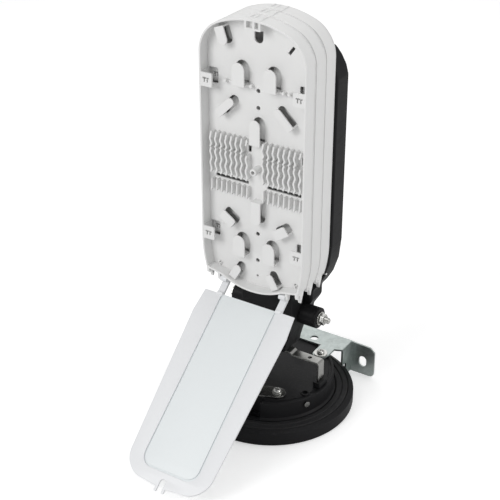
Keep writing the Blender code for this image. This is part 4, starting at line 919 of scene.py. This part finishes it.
def add_hinges(pile):
    pin = ring((TRAY_PITCH + HINGE_Y, HINGE_Z), PIN_RADIUS, 20)
    lug = [(7.9, 10.7), (1.2, 10.7)] + arc((LID_PIN_Y, LID_PIN_Z), 2.2, 180, 360, 14)
    lid_pin = ring((LID_PIN_Y, LID_PIN_Z), PIN_RADIUS, 20)
    parts = [(jaw_outline(), 47.5, 50.5, 0.35), (arm_outline(), 43.8, 46.9, 0.35), (pin, 45.4, 50.5, 0.25),
             (lug, 36.4, 38.9, 0.35), (lid_pin, 29.2, 37.6, 0.25)]
    for side in (-1, 1):
        for shape, near, far, edge in parts:
            plate(pile, [shape], *sided(side, near, far), "YZ", edge)


print("trays every", TRAY_PITCH, "mm")

# %% [markdown]
# The three trays are one moulding, so they share one mesh. Only the objects differ: each stands at
# its own solid's corner and rides on its own body, so that it leans with it.


# %% Three trays of one moulding
def tray_mesh():
    pile = bmesh.new()
    add_shell(pile)
    for tongue in TONGUES:
        add_tongue(pile, *tongue)
    add_combs(pile)
    add_clips(pile)
    add_trim(pile)
    add_hinges(pile)
    return finished(pile, "tray_rear_look", tray_white)


TRAY_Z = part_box("tray_rear")[0].z / MM
first_tray = tray_mesh()
for name in ("tray_rear", "tray_middle", "tray_front"):
    tray = first_tray if name == "tray_rear" else bpy.data.objects.new(name + "_look", first_tray.data)
    if name != "tray_rear":
        bpy.context.scene.collection.objects.link(tray)
    tray.location = (0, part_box(name)[0].y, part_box(name)[0].z)
    shown(tray, name, name)
print("tray look:", len(first_tray.data.polygons), "faces")

# %% [markdown]
# ## The lid
# The lid is a thin plate with two J-shaped arms that snap over pins under the tray. A groove sets
# its middle off from the border. Three sheets give the step: a thin back, the panel on it with
# the clearer finish, and the border. It is drawn shut and then swung open about its pins.

# %% Lid
LID_OPEN = radians(128.3)
LID_PIN = Vector((0, (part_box("tray_front")[0].y / MM + LID_PIN_Y) * MM, (TRAY_Z + LID_PIN_Z) * MM))
LID_EDGE = 14.2
LID_FAR = 205.2
FACE = -4.87
BACK = -6.87
ARM_FRONT = -7.6
ARM_BACK = -4.7


def lid_outline():
    """The lid's edge with the catch slot let in at its far end."""
    right = [(49.8, LID_EDGE), (51.6, 34.2), (52, 37)]
    right += arc((21.5, 179.7), 24, 0, 90, 20)
    right += [(12, 204.6), (5.5, LID_FAR), (5.5, LID_FAR + 3.4), (4.7, LID_FAR + 4.2), (3.1, LID_FAR + 4.2),
              (2.7, LID_FAR + 3.4)]
    right += arc((0, 199.9), 2.7, 0, -90, 8)
    return mirrored(right)


def panel_edge(half, far, corner):
    """Round the panel from the hinge edge up one side, over the far end and down the other side."""
    return mirrored([(half, LID_EDGE)] + arc((half - corner, far - corner), corner, 0, 90, 10))


def lid_arm():
    """The hook round the pin, a neck that steps forward, and a leg that runs out along the plate."""
    hook = arc((0, 0), 3.1, 196, 170, 3) + arc((0, 0), 1.5, 170, 470, 28) + arc((0, 0), 3.1, 110, -90, 20)
    neck = [(-2.2, -3.1), (-4.2, -2.9), (-6.0, -2.1), (-7.2, -0.6), (ARM_FRONT, 1.4), (ARM_FRONT, 15.6)]
    inner = [(ARM_BACK, 15.6), (ARM_BACK, 2.4), (-4.4, 0.6), (-3.6, -0.6)]
    return hook + neck + inner


border = lid_outline() + panel_edge(30.7, 191.4, 12)[::-1]
pile = bmesh.new()
plate(pile, [border], BACK, FACE, "XZ", 0.4, 3)
for side in (-1, 1):
    plate(pile, [lid_arm()], *sided(side, 28.9, 36.1), "YZ", 0.4, 2)
    plate(pile, [ring((-5.6, 14), 2.3, 24)], *sided(side, 29.4, 35.6), "YZ", 0.5, 2)
lid_frame = finished(pile, "lid_frame", lid_white)
pile = bmesh.new()
plate(pile, [inset(panel_edge(31.6, 192.3, 13), 0.02)], BACK + 0.1, BACK + 0.5, "XZ", 0.1, 1)
plate(pile, [inset(panel_edge(28.9, 189.6, 10.7), 0.02)], BACK + 0.3, FACE - 0.45, "XZ", 0.2, 2)
lid_window = finished(pile, "lid_window", lid_panel_white)
swing = Matrix.Translation(LID_PIN) @ Matrix.Rotation(LID_OPEN, 4, "X")
for piece in (lid_frame, lid_window):
    piece.data.transform(swing)
    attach(piece, "lid")
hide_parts("lid")
print("lid swings from", [round(v, 4) for v in LID_PIN])

# %% [markdown]
# ## The base
# The base is turned, so it is shown with a finer turning than the solid's. The recess, the cable
# ports and the screw holes are cut as in the solid, and then a small bevel rounds the cut edges.

# %% Base
HUB_RADIUS = 64
RIM_RADIUS = 84.3
HUB_HEIGHT = 35
SEAT = 12.6
SEAT_IN = 66
SEAT_OUT = 78.9
UNDER_TOP = 31
SCREW_HOLE = 2.3
PORTS = [(side * x, y) for x, y in ((17, -29.4), (37, 10)) for side in (-1, 1)]
STRIP_RIGHT = (30, -37)
STRIP_ANGLE = 199.6
STRIP_SPAN = 46
STRIP_LEFT = (STRIP_RIGHT[0] + STRIP_SPAN * cos(radians(STRIP_ANGLE)),
              STRIP_RIGHT[1] + STRIP_SPAN * sin(radians(STRIP_ANGLE)))
BOLT_Y = 44.3
EARTH_BOSS = (52.6, -21.8)
HUB_SCREWS = [STRIP_RIGHT, STRIP_LEFT, (-32.7, BOLT_Y), (32.7, BOLT_Y)]


def oval(radius):
    """The oval port at the back, in any width."""
    return arc((9, 40), radius, -90, 90, 14) + arc((-9, 40), radius, 90, 270, 14)


def base_profile():
    """The hub's top with its fine groove, its wall, the seat, the rim, and back below."""
    points = [(0, HUB_HEIGHT), (58.5, HUB_HEIGHT), (58.9, 34.2), (61.1, 34.2), (61.5, HUB_HEIGHT),
              (HUB_RADIUS, HUB_HEIGHT), (HUB_RADIUS, 18), (SEAT_IN, 16), (SEAT_IN, SEAT), (SEAT_OUT, SEAT),
              (SEAT_OUT, 15.8), (RIM_RADIUS, 13.2), (RIM_RADIUS, 0), (80.5, 0), (80.5, 9.6), (61, 9.6),
              (61, UNDER_TOP), (14, UNDER_TOP), (14, 0), (0, 0)]
    return rounded_corners(points, 1.1, 4, keep=(0, 1, 2, 3, 4, 19))


def cylinder(place, radius, low, high, steps=32):
    return cutter([ring(place, radius, steps)], low, high)


base = finished(turned(bmesh.new(), base_profile(), 144), "base_look", black_plastic)
adds = [cylinder(p, 12, 4, UNDER_TOP + 0.6) for p in PORTS]
adds.append(cutter([oval(9)], 4, UNDER_TOP + 0.6))
adds += [cylinder(p, 5, UNDER_TOP - 6, UNDER_TOP + 0.6, 20) for p in HUB_SCREWS]  # screw bosses
chute = -sqrt((HUB_RADIUS - 1.5) ** 2 - 27 ** 2)
adds.append(cutter([rectangle((-3, chute), (27, -47))], 11.1, UNDER_TOP + 0.6))
raised = turned(bmesh.new(), [(0, 36.2), (3.9, 36.2), (4.5, 35.6), (4.5, 34), (0, 34)], 32, (*EARTH_BOSS, 0))
adds.append(finished(raised, "boss", black_plastic))
for side in (-1, 1):
    x = sided(side, 53, 61.2)
    socket = rounded_corners(rectangle((x[0], -8.5), (x[1], 8.5)), 2.2)
    adds.append(cutter([socket], HUB_HEIGHT - 0.6, HUB_HEIGHT + 6))
carved(base, adds, "UNION")
cuts = [cylinder(p, 10, -1, 22) for p in PORTS] + [cutter([oval(7)], -1, 22)]
cuts.append(cutter([rounded_corners(rectangle((0, -RIM_RADIUS), (24, -50)), 1.2)], SEAT + 3.6, 40))
cuts += [cylinder(p, SCREW_HOLE, UNDER_TOP - 2, 40, 20) for p in HUB_SCREWS]
cuts.append(cylinder(EARTH_BOSS, 2.9, 34, 40, 24))
for side in (-1, 1):
    x = sided(side, 55.7, 58.3)
    cuts.append(cutter([rectangle((x[0], -5.55), (x[1], 5.55))], UNDER_TOP - 2, 43))
earth_hole = cutter([ring((0, 28.5), SCREW_HOLE, 20)], 55, 68, "YZ")
earth_hole.data.transform(Matrix.Rotation(radians(-26), 4, "Z"))
carved(base, cuts + [earth_hole])
base.data.shade_smooth()
base.data.set_sharp_from_angle(angle=radians(32))
soften(base, 0.35, 2, 42)
shown(base, "base")
print("base look:", len(base.data.polygons), "faces")

# %% [markdown]
# The seal is a rubber ring with two lobes that lies in the seat. Its section is turned like the
# base. The plugs under the base stay as the solids are, with a rounded edge.

# %% Seal and plugs
pile = bmesh.new()
lobe = [(66.4, 12.9), (78.5, 12.9), (78.5, 15.1), (77.6, 16), (73.6, 16), (72.7, 15.1), (72.2, 15.1),
        (71.3, 16), (67.3, 16), (66.4, 15.1)]
turned(pile, rounded_corners(lobe[::-1], 0.6, 3), 144)
shown(finished(pile, "seal_ring_look", rubber), "seal_ring")
plugs = [n for n in nodes if "plug" in n]
for name in plugs:
    dressed(name, rubber, 0.4)
print("seal and", len(plugs), "plugs")

# %% [markdown]
# ## Column and carrier
# The column flares out above its foot and has a spine at its back. Two plates, one for the body
# and one for the spine, are joined into one solid, and the pocket and the holes are cut last.

# %% Column
POST_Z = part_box("support_post")[0].z / MM
POST_HEIGHT = 66
POST_HALF = 28.5
POST_SCREW_X = 11
CLAMP_Y = 12
CLAMP_Z = POST_Z + 37.7
BOLT_BORE = 3.3
SPINE_TOP = CLAMP_Z - 11.5
right = [(0, POST_Z), (20.5, POST_Z)]
right += [(21.5 + 7 * sin(radians(90 * i / 16)) ** 1.5, POST_Z + 1 + 35 * i / 16) for i in range(17)]
right += [(POST_HALF, POST_Z + POST_HEIGHT), (0, POST_Z + POST_HEIGHT)]
pile = plate(bmesh.new(), [mirrored(right)], -10, 14, "XZ", 1.6, 3)
post = finished(pile, "support_post_look", black_plastic)
shank = [p for p in right if p[1] < SPINE_TOP - 0.5]
shank += [(shank[-1][0], SPINE_TOP), (0, SPINE_TOP)]
spine = finished(plate(bmesh.new(), [mirrored(shank)], 8, 22, "XZ", 1.6, 3), "spine", black_plastic)
carved(post, [spine], "UNION")
pocket = cutter([rounded_corners(rectangle((-24.5, -6), (24.5, 10)), 1.5)], CLAMP_Z + 10.5, POST_Z + 70)
holes = [cutter([ring((CLAMP_Y, CLAMP_Z), BOLT_BORE, 24)], -40, 40, "YZ")]
holes += [cylinder((side * POST_SCREW_X, 0), SCREW_HOLE, POST_Z - 1, POST_Z + 9, 20) for side in (-1, 1)]
carved(post, [pocket] + holes)
soften(post, 0.4, 2, 60)
shown(post, "support_post")
print("column look:", len(post.data.polygons), "faces")

# %% [markdown]
# The carrier behind the trays is a deep tray itself, open at the back with stiffening ribs. It ends
# below in two barrels that the clamp bolt goes through. It starts as a full block, and one cell at
# a time is cut out of it, so the ribs are what is left.


# %% Carrier
CARRIER_HALF = 56.5
CARRIER_HEIGHT = 242
CARRIER_FRONT = 14.5
CARRIER_BACK = 36.5
BARREL_RADIUS = 10.5
CARRIER_WALL = 3.5
RIB_HALF_WIDTH = 1.2


def carrier_outline():
    """From the barrels up along the waist and the straight side to the blunt top."""
    z = TRAY_Z
    foot = CLAMP_Z - BARREL_RADIUS
    right = [(0, foot), (POST_HALF, foot), (POST_HALF, CLAMP_Z), (37, z - 25), (37, z - 14),
             (42.6, z - 6.6), (49, z + 4.6), (54.3, z + 21), (CARRIER_HALF, z + 42), (CARRIER_HALF, z + 207),
             (53.9, z + 216), (49.3, z + 224), (43.2, z + 231), (23.8, z + 239), (0, z + CARRIER_HEIGHT)]
    return mirrored(right)


shape = carrier_outline()
soft_shape = rounded_corners(shape, 9, 5, keep=(0, 1, 14))
pile = plate(bmesh.new(), [soft_shape], CARRIER_FRONT, CARRIER_BACK, "XZ", 2.4, 3)
carrier = finished(pile, "tray_holder_look", black_plastic)
barrels = []
barrel_line = ring((CLAMP_Y, CLAMP_Z), BARREL_RADIUS, 48)
for side in (-1, 1):
    pile = plate(bmesh.new(), [barrel_line], *sided(side, 28.8, 48), "YZ", 0.8)
    barrels.append(finished(pile, "barrel", black_plastic))
carved(carrier, barrels, "UNION")
low = TRAY_Z + 6
high = TRAY_Z + CARRIER_HEIGHT
rows = [low + (high - low) * i / 5 for i in range(6)]
wall_line = inset(shape, CARRIER_WALL)
cells = []
for bottom, top in zip(rows, rows[1:]):
    for side in (-1, 1):
        x = sided(side, RIB_HALF_WIDTH, 80)
        floor_rib = RIB_HALF_WIDTH if bottom > low else 0
        room = cutter([rectangle((x[0], bottom + floor_rib), (x[1], top - RIB_HALF_WIDTH))], 10, 50, "XZ")
        cells.append(carved(cutter([wall_line], 17.5, 42, "XZ"), [room], "INTERSECT"))
above = cutter([rectangle((-80, low), (80, 600))], 10, 50, "XZ")
cells.append(carved(cutter([wall_line], 34.5, 42, "XZ"), [above], "INTERSECT"))
cells.append(cutter([ring((CLAMP_Y, CLAMP_Z), BOLT_BORE, 24)], -60, 60, "YZ"))
for side in (-1, 1):  # slots for the rear tray's arms and pins
    arm_slot = rectangle((11.5, TRAY_Z + 5.1), (20.6, TRAY_Z + 10.9))
    cells.append(cutter([arm_slot], *sided(side, 43.2, 47.5), "YZ"))
    pin_slot = rectangle((11.5, TRAY_Z + 7), (19.7, TRAY_Z + 10))
    cells.append(cutter([pin_slot], *sided(side, 46.9, 57.5), "YZ"))
carved(carrier, cells)
soften(carrier, 0.5, 2, 60)
shown(carrier, "tray_holder")
print("carrier look:", len(carrier.data.polygons), "faces")

# %% [markdown]
# ## Steel
# The strap is one strip bent to a bridge, with a small step on each side of the column. It is drawn
# as its edge, seen from the front, with real bend radii, and thickened to the strip's width. The
# strength strip is flat, so it is drawn from above.

# %% Strap and strip
STRAP_HALF = 58
STRAP_FOOT = 29
STRAP_STEEL = 2
STRAP_BEND = 2.6
STRAP_WIDTH = 10.5
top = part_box("bridge_strap")[1].z / MM - STRAP_STEEL
inside = STRAP_HALF - STRAP_STEEL
right = [(0, top), (24.5, top), (26.5, top - STRAP_STEEL), (inside, top - STRAP_STEEL), (inside, STRAP_FOOT),
         (STRAP_HALF, STRAP_FOOT)]
right += arc((STRAP_HALF - STRAP_BEND, top - STRAP_BEND), STRAP_BEND, 0, 90, 8)
right += [(27.5, top), (25.5, top + STRAP_STEEL), (0, top + STRAP_STEEL)]
sharp = (0, 4, 5) + tuple(range(6, 15)) + (17,)
edge_line = mirrored(rounded_corners(right, 1.2, 4, keep=sharp))
pile = plate(bmesh.new(), [edge_line], -STRAP_WIDTH / 2, STRAP_WIDTH / 2, "XZ", 0.3)
# the strap's steel colour holds painted shade
strap = finished(pile, "bridge_strap_look", strap_zinc_painted_shade)
holes = [cylinder((side * x, 0), bore, top - 6, top + 6, 28)
         for x, bore in ((44.9, 2.2), (POST_SCREW_X, SCREW_HOLE)) for side in (-1, 1)]
carved(strap, holes)
shown(strap, "bridge_strap")
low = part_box("strength_strip")[0].z / MM
ends = arc(STRIP_RIGHT, 8.5, STRIP_ANGLE - 270, STRIP_ANGLE - 90, 20)
ends += arc(STRIP_LEFT, 8.5, STRIP_ANGLE - 90, STRIP_ANGLE + 90, 20)
eyes = [ring(STRIP_RIGHT, SCREW_HOLE), ring(STRIP_LEFT, SCREW_HOLE)]
pile = plate(bmesh.new(), [ends] + eyes, low, low + 1.5, "XY", 0.3)
# the strip's steel colour holds a painted dark reflection
shown(finished(pile, "strength_strip_look", painted_dark_reflection_steel), "strength_strip")
print("strap top at", round(top + STRAP_STEEL, 1), "mm")

# %% [markdown]
# All the screws are one pan-head screw with a cross recess, made at the length that each solid
# has. The head is turned, and two short bars cut the cross. The washers are turned rings.


# %% Screws and washers
HEAD_HEIGHT = 2.6


def screw_mesh(length):
    """A pan-head screw that points down, with the seat of its head at zero."""
    dome = [(0, HEAD_HEIGHT), (1.6, 2.55), (2.7, 2.25), (3.4, 1.75), (3.8, 1.1), (3.9, 0.6), (3.9, 0.15),
            (3.75, 0)]
    shank = [(2, 0), (2, 1 - length), (1.2, -length), (0, -length)]
    screw = finished(turned(bmesh.new(), dome + shank, 40), "screw_look", bright_zinc)
    cross = [cutter([rounded_corners(rectangle((-x, -y), (x, y)), 0.3)], 1.2, 4)
             for x, y in ((2.2, 0.42), (0.42, 2.2))]
    return soften(carved(screw, cross), 0.08, 2, 40)


for name in [n for n in nodes if "screw" in n and n != "earth_screw"]:
    low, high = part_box(name)
    middle = (low + high) / 2
    screw = screw_mesh((high.z - low.z) / MM - HEAD_HEIGHT)
    screw.name = name + "_look"
    if name.startswith("post"):
        screw.data.transform(Matrix.Rotation(pi, 4, "X"))
        screw.location = (middle.x, middle.y, low.z + HEAD_HEIGHT * MM)
    else:
        screw.data.transform(Matrix.Rotation(radians(25), 4, "Z"))
        screw.location = (middle.x, middle.y, high.z - HEAD_HEIGHT * MM)
    shown(screw, name)
for name in [n for n in nodes if "washer" in n]:
    low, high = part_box(name)
    middle = (low + high) / 2 / MM
    on_bolt = name == "clamp_washer"
    radius = (high.z - low.z if on_bolt else high.x - low.x) / 2 / MM
    bore = BOLT_BORE if on_bolt else SCREW_HOLE
    section = rounded_corners([(bore, 0.5), (radius, 0.5), (radius, -0.5), (bore, -0.5)], 0.3, 3)
    pile = turned(bmesh.new(), section, 56, middle, "YZ" if on_bolt else "XY")
    shown(finished(pile, name + "_look", bright_zinc), name)
print("screws and washers:", len([n for n in nodes if "screw" in n or "washer" in n]))

# %% [markdown]
# The clamp bolt is turned with a row of thread rings on its free end. A real thread is a helix,
# but at this size rings look the same and take far fewer faces. Head and nut are hexagonal plates.

# %% Clamp bolt and nut
HEAD_FACE = 48.3
THREAD_PITCH = 0.8
THREAD_RADIUS = 3.0
ROOT_RADIUS = 2.55
hexagon = rounded_corners(arc((CLAMP_Y, CLAMP_Z), 5.8, 0, 300, 5), 0.5, 3)
pile = plate(bmesh.new(), [hexagon], -HEAD_FACE - 4, -HEAD_FACE, "YZ", 0.5, 3)
thread = [(0, 58.8), (2.2, 58.8), (2.9, 58.1)]
for k in range(12):
    z = 57.9 - k * THREAD_PITCH
    thread += [(THREAD_RADIUS, z), (ROOT_RADIUS, z - THREAD_PITCH / 2)]
thread += [(THREAD_RADIUS, 48.2), (THREAD_RADIUS, -49), (0, -49)]
turned(pile, thread, 40, (0, CLAMP_Y, CLAMP_Z), "YZ")
shown(finished(pile, "clamp_bolt_look", bright_zinc), "clamp_bolt")
low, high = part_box("clamp_nut")
bolt_hole = ring((CLAMP_Y, CLAMP_Z), BOLT_BORE, 32)
pile = plate(bmesh.new(), [hexagon, bolt_hole], low.x / MM, high.x / MM, "YZ", 0.5, 3)
shown(finished(pile, "clamp_nut_look", bright_zinc), "clamp_nut")
print("bolt ends at", thread[0][1], "mm")

# %% [markdown]
# The earth screw is small, and the bracket is already bent as the real one is. Both are shown as
# the solids are, with their finish and a rounded edge.

# %% Earth screw and bracket
# the earth screw takes the steel whose darker colour is a painted dark reflection
dressed("earth_screw", painted_dark_reflection_steel, 0.25)
dressed("wall_bracket", galvanised, 0.55, 3)
